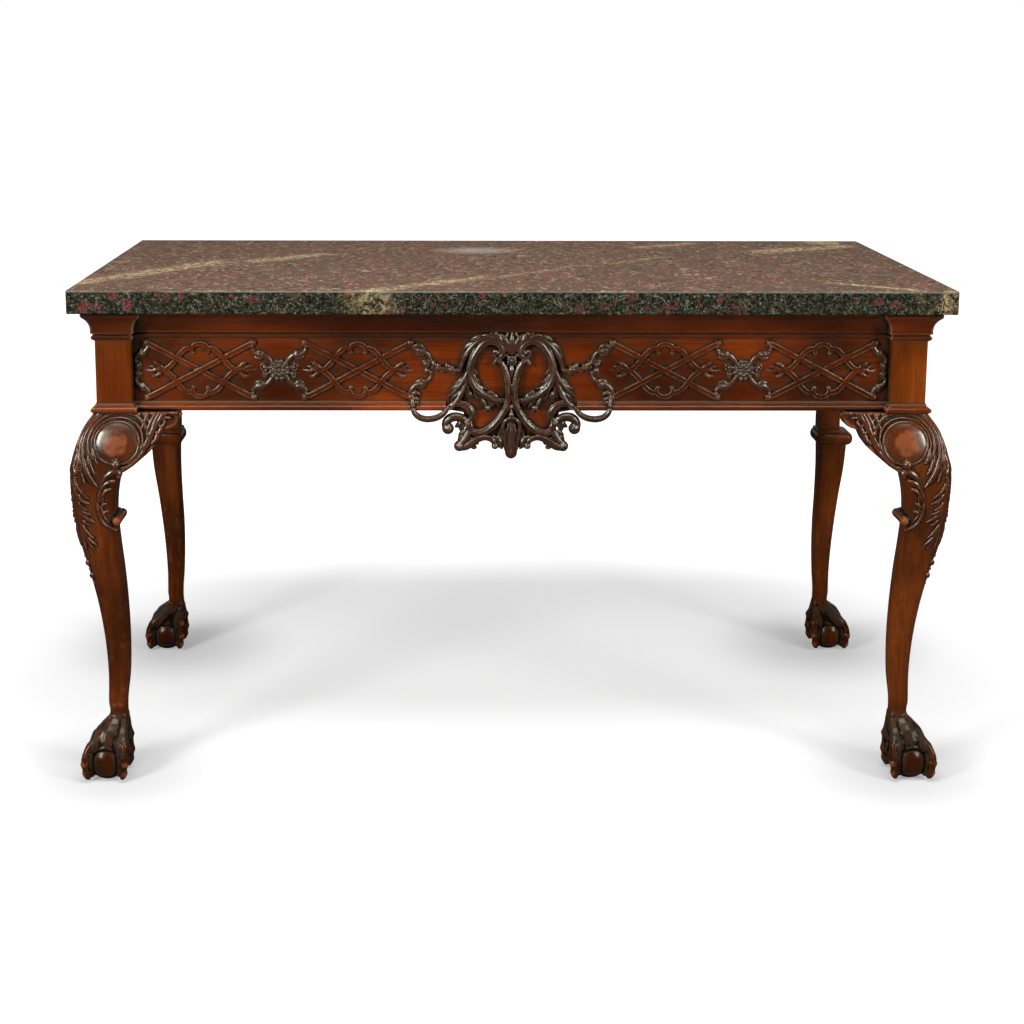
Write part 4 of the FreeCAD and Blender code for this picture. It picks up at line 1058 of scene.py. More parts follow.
def rubFeet(body, facing):
    # rubbed knuckles and nails, dark skin between them
    cx, cy = table["halfX"], facing * table["halfY"]
    co = readPoints(body) / mm
    value = readHollow(body)
    nearest = np.full(len(co), 99.0)
    for step, z, width in foot["knuckles"]:
        if width > foot["knob"]:
            for sx in (1, -1):
                for sy in (1, -1):
                    out = step + handled["out"]
                    spot = np.array((cx + sx * out, cy + sy * out, z + handled["up"]))
                    nearest = np.minimum(nearest, np.linalg.norm(co - spot, axis=1))
    rubbed = np.exp(-(nearest / handled["reach"]) ** 2)
    away = np.linalg.norm(co - np.array((cx, cy, foot["ballHeight"])), axis=1)
    onBall = away < foot["ball"] + handled["ballSkin"]
    low = np.clip((handled["below"] - co[:, 2]) / handled["ease"], 0, 1)
    held = np.where(value < 0, value * rubbed, value) + np.where(onBall, 0.0, handled["dark"] * (1 - rubbed))
    writeHollow(body, value * (1 - low) + held * low)


def makeLeg(name, leg, rows, facing, rolls, blocks):
    # shaft, foot and rolls are fused; the squared blocks stay crisp and have a neutral hollow value
    parts = [shaft(name, leg, rows, facing), clawFoot(leg, facing)]
    if rolls:
        parts.append(drawStrokes("rolls", rolls))
    body = joinPieces(parts, name)
    fuse(body, fused["voxel"], fused["softening"])
    trimBelow(body, (0, 0, 0), (0, 0, 1))
    markHollows(body, fused["rounds"])
    rubFeet(body, facing)
    shells = [squaredBlock(*block) for block in blocks]
    for shell in shells:
        writeHollow(shell, np.zeros(len(shell.data.vertices)))
    body = joinPieces([body] + shells, name)
    choose([body])
    bpy.ops.object.shade_smooth_by_angle(angle=math.radians(fused["sharpFrom"]))
    bothEnds(body, name, finishes["legWood"], [name])


def buildLegs():
    hx, hy, top = table["halfX"], table["halfY"], table["railTop"]
    side = frontLeg["block"]
    head = ("head", (hx - side, -hy, table["railFoot"] - 1), (hx, -hy + side, top), frontLeg["blockEdge"])
    makeLeg("front_leg", frontLeg, frontTable, -1, kneeRolls(), [head])
    side = rearLeg["block"]
    kneeTop = rearLeg["stations"][0][0]
    blocks = [("head", (hx - side, hy - side, kneeTop), (hx, hy, top), rearLeg["blockEdge"])]
    for key in ("collar", "fillet"):
        ring = rearLeg[key]
        low, high = ((hx + x, hy + y, z) for x, y, z in (ring["low"], ring["high"]))
        blocks.append((key, low, high, ring["edge"]))
    makeLeg("rear_leg", rearLeg, rearTable, 1, [], blocks)
    print("legs ready")


# knees and their brackets

knee = {"ridge": 1.4,
        # where the carved face starts to fall towards the bracket's end, over what length and how fast
        "fall": (25, 111, 1.5),
        # the bracket's outline: in from the block's outer side, and height
        "bracketOutline": [(136, 650), (136, 636), (132, 627), (123, 623), (112, 621), (106, 610), (101, 599),
                           (90, 585), (78, 575), (64, 563), (50, 554), (40, 549), (20, 545), (20, 650)],
        "bracketThickness": 40, "bracketBack": {"front": -44.0, "side": -22.0},
        "bracketVoxel": 1.7, "bracketSoftening": 2, "bracketRounds": 14,
        # the bracket sinks under the carving and at its tip: depth, where from and over what length
        "sunk": (0.9, 48, 12), "tip": (3.0, 118, 18),
        "oval": {"middle": (33.5, 602.4), "half": (25, 26), "rub": 0.85},
        # dark wax and painted shade on the ground beside the carving, up to a little below the rail
        "waxAndShade": {"reach": 3.2, "hollow": 0.5, "power": 1.5, "underRail": 2}}
# where the knee's drawing lies: the point boardX, boardY is middle mm in and height mm up
kneeBoard = {"boardX": 605, "boardY": 365, "middle": 35.7, "height": 601.7, "wide": 0.2192, "high": 0.2252,
             "lie": 0.9}


def kneeFace(u, z, share):
    # how far the carved face stands before the block, u in from the block's outer side
    swell = stationAt(frontTable, z)[0]
    start, length, power = knee["fall"]
    fall = np.clip((u - start) / length, 0, None)
    return np.where(swell > 0, swell * share, swell) * np.clip(1 - fall ** power, 0.0, 1)


def onKnee(face):
    def place(u, z, h):
        swell, _, radius = stationAt(frontTable, z)
        share = frontLeg["depthShare"]
        edge = swell if face == "front" else np.where(swell > 0, swell * share, swell)
        v = u + edge
        bend = np.clip((radius - v) / radius, 0, 1.25)
        along = np.where(bend > 0, radius - radius * np.sin(bend), v)
        drop = radius * (1 - np.cos(bend))
        depth = kneeFace(u, z, share if face == "front" else 1.0)
        first = edge - along + np.sin(bend) * h
        second = depth - drop + np.cos(bend) * h
        if face == "front":
            return table["halfX"] + first, -(table["halfY"] + second), z
        return table["halfX"] + second, -(table["halfY"] + first), z
    return place


def kneeDrawing(face):
    r = knee["ridge"]
    lines = [
        # the C scroll's ridges about the plain oval
        ("leaf", [(575, 520), (505, 492), (455, 430), (440, 350), (468, 275), (535, 225), (615, 210),
                  (690, 228), (745, 275), (772, 345), (765, 420), (725, 480), (660, 515), (610, 520)], r),
        ("leaf", [(452, 470), (418, 400), (420, 330), (452, 258), (515, 205), (590, 184), (665, 186),
                  (730, 212), (780, 262), (800, 335), (790, 410), (750, 475), (690, 522)],
         (r * 0.6, r * 0.8)),
        ("leaf", [(458, 505), (400, 450), (388, 370), (408, 285), (465, 205), (560, 155), (650, 145),
                  (740, 168), (805, 225), (838, 310), (828, 400), (780, 478), (710, 532), (630, 552)],
         (r * 1.3, r * 1.3, r)),
        ("leaf", [(405, 600), (362, 520), (348, 430), (358, 330), (405, 235), (475, 165), (560, 125),
                  (650, 114), (735, 125), (800, 158), (850, 215)], (r * 1.2, r * 1.4, r)),
        ("leaf", [(345, 560), (325, 470), (325, 370), (358, 270), (420, 185), (500, 128), (590, 96),
                  (680, 90), (770, 105)], (r * 0.7, r, r * 0.7)),
        ("leaf", [(296, 430), (296, 350), (330, 255), (392, 172), (460, 118), (540, 88)],
         (r, r * 1.2, r * 0.7)),
        ("blob", (606, 362, -0.4), (28, 28, 3.4)),
        ("blob", (604, 514, 3.6), (6.4, 6.4, 6.2)),
        # leaf tips where the scroll runs out below
        ("leaf", [(352, 470), (375, 570), (415, 640), (462, 692)], (2, 5.2, 0.9)),
        ("leaf", [(392, 440), (400, 510), (420, 560), (448, 596)], (1.6, 4.0, 0.8)),
        ("leaf", [(425, 400), (428, 450), (444, 488), (470, 512)], (1.2, 3.0, 0.6)),
        ("leaf", [(335, 540), (342, 600), (355, 640), (368, 668)], (1.0, 2.6, 0.6)),
        # outer edge: a small leaf, the long stem and its sprays
        ("leaf", [(306, 430), (290, 480), (278, 530), (290, 585)], (1.4, 4.2, 3.2)),
        ("blob", (290, 578, 0.5), (3.8, 4.6, 3.0)),
        ("leaf", [(318, 450), (314, 500), (312, 550), (316, 590)], (0.8, 2.0, 0.8)),
        ("leaf", [(262, 460), (242, 560), (240, 660), (252, 770), (268, 880), (288, 1000), (306, 1110),
                  (320, 1190), (332, 1250)], (1.8, 2.6, 1.5)),
        ("leaf", [(282, 610), (262, 690), (270, 790), (290, 890), (315, 990), (336, 1090), (346, 1180)],
         (1.2, 2.0, 1.2)),
        ("leaf", [(276, 630), (308, 700), (348, 748), (390, 778)], (1.6, 2.6, 0.8)),
        ("leaf", [(270, 675), (300, 750), (346, 800), (404, 824)], (1.6, 3.4, 0.9)),
        ("leaf", [(268, 720), (294, 795), (330, 845), (378, 872)], (1.4, 2.6, 0.7)),
        ("leaf", [(275, 770), (308, 845), (352, 892), (405, 905)], (1.4, 2.8, 0.8)),
        ("leaf", [(284, 820), (318, 890), (368, 935), (432, 965)], (1.6, 3.6, 0.9)),
        ("leaf", [(296, 880), (326, 940), (362, 975), (400, 992)], (1.2, 2.4, 0.7)),
        ("leaf", [(310, 945), (342, 1015), (376, 1062), (414, 1096)], (1.4, 2.8, 0.8)),
        ("leaf", [(322, 1000), (350, 1066), (386, 1115), (434, 1150)], (1.4, 3.2, 0.8)),
        ("leaf", [(340, 1065), (362, 1110), (384, 1148), (410, 1185)], (1.2, 2.4, 0.7)),
        # inner edge: curled leaves over the small scroll that ends at the cross roll
        ("leaf", [(476, 706), (504, 645), (548, 592), (598, 574), (628, 592), (616, 616)], (1.6, 5.0, 2.4)),
        ("leaf", [(470, 748), (498, 695), (542, 655), (594, 642)], (1.2, 3.6, 1.4)),
        ("leaf", [(474, 800), (498, 750), (534, 712), (566, 704)], (1.0, 2.6, 1.0)),
        ("leaf", [(484, 700), (462, 780), (458, 860), (474, 932), (510, 988), (555, 1016), (592, 1030)],
         (1.6, 2.4, 1.6)),
        ("leaf", [(504, 770), (488, 840), (500, 910), (532, 962)], (0.9, 1.5, 0.9)),
        ("leaf", [(478, 850), (500, 828), (528, 818)], (1.0, 2.2, 1.0)),
        ("leaf", [(488, 905), (512, 884), (540, 878)], (1.0, 2.0, 0.9)),
        # the leaf that runs out along the bracket
        ("leaf", [(800, 420), (846, 330), (892, 245), (950, 176), (1012, 132), (1070, 116)], (1.6, 2.6, 1.8)),
        ("leaf", [(742, 200), (782, 152), (818, 112), (850, 90)], (0.8, 1.8, 0.7)),
        ("leaf", [(792, 265), (818, 196), (848, 142), (882, 100)], (1.0, 2.4, 0.8)),
        ("leaf", [(828, 310), (852, 236), (884, 170), (922, 112)], (1.2, 2.8, 0.9)),
        ("leaf", [(862, 290), (892, 212), (930, 148), (972, 100)], (1.2, 2.8, 0.9)),
        ("leaf", [(900, 236), (938, 172), (980, 124), (1026, 92)], (1.2, 2.6, 0.9)),
        ("leaf", [(948, 182), (990, 140), (1034, 112), (1076, 92)], (1.0, 2.2, 0.9)),
        ("leaf", [(1010, 190), (950, 196), (905, 244), (870, 312), (845, 372), (800, 440), (745, 505),
                  (690, 545), (640, 575)], (1.6, 2.2, 1.8)),
        ("leaf", [(866, 380), (900, 345), (912, 310), (900, 290)], (1.4, 3.0, 1.2)),
        ("leaf", [(892, 330), (925, 295), (938, 262), (924, 240)], (1.2, 2.8, 1.0)),
        ("leaf", [(920, 280), (950, 248), (965, 222), (952, 200)], (1.0, 2.4, 1.0)),
    ]
    if face == "front":
        # bellflowers down the corner
        lines += [("blob", (x, y, 0.4), (r, r * 1.3, r)) for x, y, r in
                  ((331, 1244, 2.4), (346, 1302, 3.9), (357, 1352, 2.2), (370, 1408, 3.7), (384, 1470, 1.9))]
    scroll = onBoard(kneeBoard, 1058, 152)
    return fromBoard(kneeBoard, lines) + volute(*scroll, 9.5, 150, 1.4, 2.2, 1.2, clockwise=True, eye=3.4)


def sawnBracket(face):
    # the outline is sawn through, then the front is shaped to the knee
    thick = knee["bracketThickness"]
    obj = sawnBoard("bracket", knee["bracketOutline"], thick)
    fuse(obj, knee["bracketVoxel"], knee["bracketSoftening"])
    co = readPoints(obj) / mm
    u, z, t = co[:, 0], np.minimum(co[:, 1], table["railFoot"]), np.clip(co[:, 2] / thick, 0, 1)
    sunk, sunkFrom, sunkOver = knee["sunk"]
    tip, tipFrom, tipOver = knee["tip"]
    front = kneeFace(u, z, frontLeg["depthShare"] if face == "front" else 1.0)
    front = front - sunk * np.clip((sunkFrom - u) / sunkOver, 0, 1)
    front = front - tip * np.clip((u - tipFrom) / tipOver, 0, 1)
    back = knee["bracketBack"][face]
    depth = back + t * (front - back)
    if face == "front":
        placed = np.stack([table["halfX"] - u, -(table["halfY"] + depth), z], axis=1)
    else:
        placed = np.stack([table["halfX"] + depth, -(table["halfY"] - u), z], axis=1)
    writePoints(obj, placed * mm)
    editAll(obj, bpy.ops.mesh.normals_make_consistent, inside=False)
    return obj


def rubOval(carving, face):
    # the plain oval is rubbed bright
    (middleU, middleZ), (halfU, halfZ) = knee["oval"]["middle"], knee["oval"]["half"]
    co = readPoints(carving) / mm
    u = table["halfX"] - co[:, 0] if face == "front" else table["halfY"] + co[:, 1]
    out = np.hypot((u - middleU) / halfU, (co[:, 2] - middleZ) / halfZ)
    inside = out < 1
    value = readHollow(carving)
    value[inside] = np.minimum(value[inside], 0) - knee["oval"]["rub"] * (1 - out[inside] ** 3)
    writeHollow(carving, value)


def waxAndShadeNear(obj, carving):
    # plain ground within reach of the carving keeps its dark wax and a painted shade; obj may be the twin at
    # the other end
    waxAndShade = knee["waxAndShade"]
    reach = waxAndShade["reach"]
    tree = kdtree.KDTree(len(carving.data.vertices))
    for number, vertex in enumerate(carving.data.vertices):
        tree.insert(vertex.co, number)
    tree.balance()
    co = readPoints(obj)
    co[:, 0] = np.abs(co[:, 0])
    around = readPoints(carving)
    near = np.all((co > around.min(axis=0) - reach * mm) & (co < around.max(axis=0) + reach * mm), axis=1)
    near &= co[:, 2] < (table["railFoot"] - waxAndShade["underRail"]) * mm
    value = readHollow(obj)
    for k in np.nonzero(near)[0]:
        away = tree.find(co[k])[2] / mm
        if away < reach:
            value[k] = max(value[k], waxAndShade["hollow"] * (1 - (away / reach) ** waxAndShade["power"]))
    writeHollow(obj, value)


def buildKnees():
    underRail = ((0, 0, (table["railFoot"] - 0.4) * mm), (0, 0, -1))
    for face in ("front", "side"):
        bracket = sawnBracket(face)
        markHollows(bracket, knee["bracketRounds"])
        bothEnds(bracket, "knee_bracket_" + face, finishes["kneeWood"], ["knee_bracket_" + face])
        carving = carve("knee" + face.capitalize(), kneeDrawing(face), onKnee(face), underRail)
        rubOval(carving, face)
        bothEnds(carving, "knee_carving_" + face, finishes["kneeWood"])
        for base in ("front_leg", "knee_bracket_" + face):
            for end in ("_right_carved", "_left_carved"):
                waxAndShadeNear(bpy.data.objects[base + end], carving)
    print("knees ready")


# frieze: frets, rosettes and scrolls

fret = {"halfLength": 90, "halfHeight": 47.5, "width": 4.1, "over": 2.5, "under": 0.6, "between": 1.8,
        # where the units sit: right of the front's middle, and on the side behind the depth's middle
        "outer": 528.5, "inner": 261, "rosette": 394.75, "sideStep": 133.5, "sideMiddle": 9}
friezeGlue = ((0, (table["friezeY"] + 0.6) * mm, 0), (0, -1, 0))


def onFrieze(height):
    # the plain face of the frieze, drawings standing with their origin at this height
    return lambda x, y, h: (x, table["friezeY"] - h, y + height)


def onSide(obj, shift):
    # a copy of a piece of the front, turned onto the right side
    made = copyOf(obj, obj.name, (fret["sideMiddle"] + shift, 0, 0))
    made.data.transform(Matrix.Translation((table["halfX"] * mm, 0, 0)) @ Matrix.Rotation(math.pi / 2, 4, "Z")
                        @ Matrix.Translation((0, -table["friezeY"] * mm, 0)))
    return made


def bud(s):
    # a three-lobed leaf at the loop's end, s is 1 on the right and -1 on the left
    return [("leaf", [(s * 52, 0, 1.5), (s * 60, 0, 2.4), (s * 72, 1, 3.0), (s * 84, -1, 2.4),
                      (s * 95, 1, 0.4)], (2.4, 3.6, 4.2, 3.0, 0.8)),
            ("leaf", [(s * 60, 1, 2.2), (s * 67, 6.5, 3.4), (s * 74, 12, 3.4), (s * 80, 14.5, 0.6)],
             (2.4, 4.4, 4.2, 1.2)),
            ("leaf", [(s * 62, -1, 2.0), (s * 69, -6, 3.2), (s * 76, -10, 3.0), (s * 83, -10.5, 0.4)],
             (2.2, 4.0, 3.6, 1.0)),
            ("leaf", [(s * 72, 1, 2.4), (s * 80, 5.5, 2.2), (s * 88, 7, 0.4)], (1.8, 3.0, 0.8)),
            ("blob", (s * 74, 11.8, 3.6), (3.8, 3.4, 2.8)), ("blob", (s * 60, 0, 2.6), (3.4, 4.2, 2.8))]


def leafyKnob(x, y):
    return [("blob", (x, y, 2.0), (5.4, 5.2, 4.6)),
            ("blob", (x - 3.4, y + 2.4, 1.6), (2.6, 2.6, 3.0)),
            ("blob", (x + 3.2, y + 2.8, 1.6), (2.4, 2.6, 3.0)),
            ("blob", (x + 2.6, y - 3.4, 1.6), (2.8, 2.2, 3.0)),
            ("blob", (x - 3.2, y - 2.8, 1.6), (2.4, 2.4, 2.8))]


def fretDrawing():
    a, b = fret["halfLength"], fret["halfHeight"]
    over, under, mid, w = fret["over"], fret["under"], fret["between"], fret["width"]
    slope = b / a

    def bar(sign, heights):
        return [(x, sign * slope * x, h) for x, h in heights]

    falling = bar(-1, [(-a + 2, mid), (-60, mid), (-46, mid), (-38, under), (-30, mid), (-16, mid), (0, over),
                       (16, mid), (30, mid), (38, under), (46, mid), (60, mid), (a - 2, mid)])
    rising = bar(1, [(-a + 2, mid), (-60, mid), (-46, mid), (-38, over), (-30, mid), (-12, mid), (0, under),
                     (12, mid), (30, mid), (38, over), (46, mid), (60, mid), (a - 2, mid)])
    strokes = [("strap", falling, w), ("strap", rising, w)]
    for sx in (-1, 1):
        for sy in (-1, 1):
            crossing = over if sx * sy < 0 else under
            side = [(-62, 0, mid), (-54, 4.5, mid), (-46, 12, mid), (-38.5, 22, crossing), (-31, 31, mid),
                    (-24, 36.5, mid), (-15.5, 38.5, mid)]
            strokes.append(("strap", [(-sx * x, sy * y, h) for x, y, h in side], w * 0.92))
    for sy in (-1, 1):
        lobe = [(-10.5, 29.5), (-13.2, 34), (-12.6, 40), (-8.6, 45), (0, 47.2), (8.6, 45), (12.6, 40),
                (13.2, 34), (10.5, 29.5)]
        strokes.append(("strap", [(x, sy * (y - 1.5), mid) for x, y in lobe],
                        (w * 0.6, w * 0.85, w * 0.85, w * 0.6)))
    for sx in (-1, 1):
        strokes += bud(sx)
        for sy in (-1, 1):
            strokes += leafyKnob(sx * a, sy * (b - 0.5))
    return strokes


def armDrawing():
    # one scrolled and leafed arm of the rosette, to the upper right
    return [("leaf", [(11, 9, 2), (16.5, 19, 2.4), (24.5, 25.6, 2.6), (35, 26.6, 2.8), (42, 31, 2.4),
                      (46.5, 37, 2)], (2.4, 3.0, 3.6, 4.0, 3.0, 2.4)),
            ("leaf", [(24, 26, 2.6), (30, 31, 3), (37, 31.5, 2.4), (42, 35, 1)], (1.4, 2.8, 2.2, 0.8)),
            ("leaf", [(26, 24.5, 2.6), (32, 20.5, 3), (39, 21.5, 2.2), (43, 26, 0.8)], (1.4, 2.8, 2.4, 0.8)),
            ("blob", (33, 27.5, 4.0), (4.2, 2.6, 2.8)), ("blob", (40.5, 29.5, 3.2), (2.6, 2.4, 2.6)),
            ("blob", (46, 41, 2.4), (3.0, 3.0, 2.6))]


def rosetteDrawing():
    strokes = [("blob", (0, 0, 4.6), (2.8, 2.8, 2.8)), ("blob", (0, 0, 1.0), (15.0, 15.0, 3.4))]
    for count, inner, outer, high, width, first in ((8, 4, 12, 5.0, 2.2, 0), (12, 11.5, 19.5, 3.6, 2.2, 0.5)):
        for k in range(count):
            a = 2 * math.pi * (k + first) / count
            strokes.append(("leaf", [(r * math.cos(a), r * math.sin(a), h) for r, h in
                                     ((inner, high - 1.6), ((inner + outer) / 2, high), (outer, high - 1.4))],
                            (width * 0.6, width, width * 0.7)))
    arm = armDrawing()
    strokes += mirrored(arm) + reflected(mirrored(arm), signY=-1)
    for s in (-1, 1):
        strokes += volute(s * 24.5, 4.5, 7.5, 90, 1.3, 1.4, 2.8, clockwise=s > 0, eye=2.2)
        strokes += volute(s * 23, -7.5, 5.6, 270, 1.2, 1.2, 2.6, clockwise=s < 0, eye=1.8)
    return strokes


def endScrollDrawing():
    # x is counted from the block's face
    half = [("leaf", [(27, 46, 2), (25, 38, 2.2), (18.5, 30, 2.8), (9, 26, 2.6), (4.6, 20, 2.2),
                      (4.2, 13, 2.2)], (2.4, 3.2, 4.2, 3.0, 2.6, 2.2)),
            ("leaf", [(22, 36, 2.6), (15, 33, 3.2), (9, 30.5, 2.0)], (1.4, 3.0, 0.9)),
            ("leaf", [(24, 31, 2.4), (17, 25.5, 3.0), (11, 22, 1.6)], (1.4, 3.0, 0.9)),
            ("blob", (17.5, 28.8, 4.2), (4.0, 2.8, 2.6))]
    half += volute(7.5, 7.2, 6.6, 120, 1.3, 1.8, 2.8, clockwise=True, eye=2.6)
    return half + reflected(half, signY=-1)


def buildFrieze():
    surface = onFrieze(table["friezeMiddle"])
    unit = carve("fret", fretDrawing(), surface, friezeGlue)
    for place in ("outer", "inner"):
        base = "fret_panel_" + place
        bothEnds(copyOf(unit, unit.name, (fret[place], 0, 0)), base, finishes["fretWood"], [base])
    for place, shift in (("front", -fret["sideStep"]), ("rear", fret["sideStep"])):
        base = "side_fret_" + place
        bothEnds(onSide(unit, shift), base, finishes["fretWood"], [base])
    bpy.data.objects.remove(unit)
    print("frets ready")
    unit = carve("rosette", rosetteDrawing(), surface, friezeGlue)
    bothEnds(copyOf(unit, unit.name, (fret["rosette"], 0, 0)), "rosette", finishes["dustyWood"], ["rosette"])
    bothEnds(onSide(unit, 0), "side_rosette", finishes["dustyWood"], ["side_rosette"])
    bpy.data.objects.remove(unit)
    blockX = table["halfX"] - frontLeg["block"]
    unit = carve("endScroll", endScrollDrawing(),
                 lambda u, v, h: (blockX - u, table["friezeY"] - h, v + table["friezeMiddle"]))
    bothEnds(unit, "end_scroll", finishes["dustyWood"], ["end_scroll"])
    print("rosettes ready")


# the cartouche, its crown and the pendant below the rail

pendant = {"thickness": 20, "board": [
    (0, -78), (9, -78), (14, -62), (22, -58), (32, -50), (46, -46), (62, -48), (80, -58), (82, -44),
    (75, -30), (79, -16), (82, -4), (104, 0)]}
# where these drawings lie: the point boardX, boardY is on the middle of the table at the rail's foot
apronBoard = {"boardX": 772, "boardY": 605, "middle": 0, "height": 0, "wide": -0.257, "high": 0.268}


def scrollDrawing():
    lines = [
        # great upper C
        ("band", [(684, 226, 10), (669, 216, 10), (656, 234, 9), (668, 258, 8.5), (698, 254, 8.5),
                  (712, 215, 8.5), (688, 172, 8.5), (634, 153, 8.5), (585, 168, 8.5), (538, 222, 8.5),
                  (506, 290, 8.5), (495, 355, 8.5), (512, 420, 8.5), (560, 478, 8), (625, 518, 7),
                  (690, 541, 6), (740, 546, 5)], (1.4, 2.2, 3.6, 4.4, 4.8, 4.8, 4.6, 4.4, 4.2, 3.8, 3.4)),
        ("blob", (680, 228, 9), (3.4, 3.4, 4.2)),
        # the tall scroll that turns back to back with its twin
        ("band", [(657, 296, 10), (662, 284, 11), (690, 284, 11), (713, 308, 11), (732, 350, 11),
                  (745, 405, 11.5), (751, 460, 12), (750, 520, 12), (738, 575, 12), (710, 625, 11),
                  (670, 680, 10), (622, 722, 9.5), (572, 745, 9.5), (525, 742, 9), (495, 712, 8),
                  (480, 675, 7)], (1.6, 2.6, 3.6, 4.0, 4.0, 4.2, 4.6, 4.8, 4.4, 3.2)),
        ("blob", (656, 294, 9), (3.2, 3.2, 4.0)),
        # side C above the ear
        ("band", [(352, 584, 6), (385, 566, 8), (430, 559, 8.5), (475, 571, 8.5), (505, 602, 8.5),
                  (512, 640, 8), (492, 672, 7)], (2.4, 3.8, 4.4, 4.4, 3.2)),
        ("leaf", [(432, 572, 9), (465, 584, 10.5), (490, 612, 10), (494, 640, 8)], (1.2, 2.6, 2.4, 1.0)),
        # leaves inside the upper C
        ("leaf", [(572, 190, 8), (549, 225, 8), (544, 252, 6), (556, 274, 3)], (2, 4.2, 3.6, 1)),
        ("leaf", [(508, 285, 8), (515, 330, 7), (532, 358, 5.5), (553, 372, 3)], (1.6, 3.6, 3.2, 0.8)),
        ("leaf", [(500, 330, 8), (520, 380, 7), (545, 412, 5.5), (576, 426, 3)], (1.6, 3.8, 3.4, 0.8)),
        ("leaf", [(512, 385, 8), (542, 436, 7), (575, 458, 5.5), (610, 464, 3)], (1.6, 3.6, 3.2, 0.8)),
        ("leaf", [(540, 440, 8), (580, 486, 6.5), (615, 496, 5), (645, 492, 3)], (1.4, 3.0, 2.6, 0.8)),
        # outer acanthus of the upper C
        ("leaf", [(640, 134, 8), (575, 143, 8), (515, 185, 8), (468, 245, 7.5), (442, 305, 6), (430, 350, 5)],
         (1.8, 3.6, 4.2, 3.6, 2.0)),
        ("leaf", [(560, 150, 6), (512, 166, 6), (474, 192, 4.5), (450, 226, 2), (440, 252, 0.5)],
         (1.6, 3.2, 3.2, 0.8)),
        ("leaf", [(512, 200, 6), (476, 224, 5.5), (448, 258, 4), (432, 292, 1)], (1.6, 3.0, 2.8, 0.8)),
        ("leaf", [(478, 250, 6), (448, 288, 5), (430, 322, 3), (422, 350, 1)], (1.4, 2.8, 2.6, 0.8)),
        ("leaf", [(600, 135, 6), (560, 128, 6), (520, 140, 4), (490, 162, 1)], (1.4, 2.8, 2.4, 0.7)),
        # hanging leaves at the side
        ("leaf", [(486, 335, 8), (462, 390, 9), (424, 446, 8), (384, 492, 5.5), (345, 520, 1.5)],
         (2.2, 3.6, 4.0, 3.2, 0.9)),
        ("leaf", [(470, 375, 7), (440, 402, 7), (408, 424, 4.5), (384, 446, 1)], (1.6, 3.4, 3.0, 0.8)),
        ("leaf", [(450, 412, 7), (412, 440, 6.5), (378, 466, 4), (356, 492, 1)], (1.6, 3.2, 2.8, 0.8)),
        ("leaf", [(480, 375, 7), (462, 440, 8.5), (432, 505, 8.5), (398, 556, 9), (364, 604, 9)],
         (2.0, 3.6, 4.2, 3.8, 1.0)),
        ("leaf", [(452, 455, 7), (418, 492, 7), (386, 522, 5), (368, 548, 2)], (1.6, 3.4, 3.0, 0.8)),
        ("leaf", [(432, 505, 8), (405, 536, 8), (382, 556, 8), (358, 574, 8)], (1.4, 2.8, 2.4, 0.8)),
        ("leaf", [(486, 400, 6), (484, 445, 6), (476, 490, 5), (462, 528, 3)], (1.4, 2.8, 2.6, 0.8)),
        # florets and small leaves over the plain ground
        ("blob", (615, 592, 3), (4.2, 4.2, 4.4)),
        ("blob", (600, 580, 2), (3.4, 3.0, 3.2)), ("blob", (632, 582, 2), (3.0, 3.4, 3.2)),
        ("blob", (628, 604, 2), (3.2, 3.0, 3.2)), ("blob", (602, 604, 2), (3.0, 3.2, 3.0)),
        ("leaf", [(560, 508, 4), (580, 540, 4.5), (598, 566, 4), (612, 584, 3)], (1.6, 3.2, 2.8, 1)),
        ("leaf", [(600, 528, 4), (628, 552, 4.5), (648, 572, 3.5), (660, 592, 1)], (1.4, 3.2, 2.6, 0.9)),
        ("leaf", [(648, 546, 4), (676, 560, 4), (700, 574, 3), (716, 592, 1)], (1.2, 2.8, 2.2, 0.8)),
        ("leaf", [(520, 470, 4), (536, 500, 4), (548, 524, 3), (556, 548, 1)], (1.2, 2.8, 2.4, 0.8)),
        ("leaf", [(690, 520, 3), (660, 505, 4), (632, 486, 3), (612, 478, 1)], (1.2, 2.6, 2.0, 0.7)),
        # cusped leaf ends on the tall scroll
        ("leaf", [(500, 716, 9), (484, 690, 9.5), (470, 672, 8), (458, 660, 5)], (1.6, 3.8, 3.2, 1)),
        ("leaf", [(520, 738, 9), (508, 706, 10), (500, 684, 9), (504, 662, 6)], (1.4, 3.0, 2.8, 1)),
    ]
    made = fromBoard(apronBoard, lines)
    made += volute(*onBoard(apronBoard, 493, 500), 6.4, 200, 1.4, 1.7, 4.2, clockwise=False, eye=2.6)
    return mirrored(made)


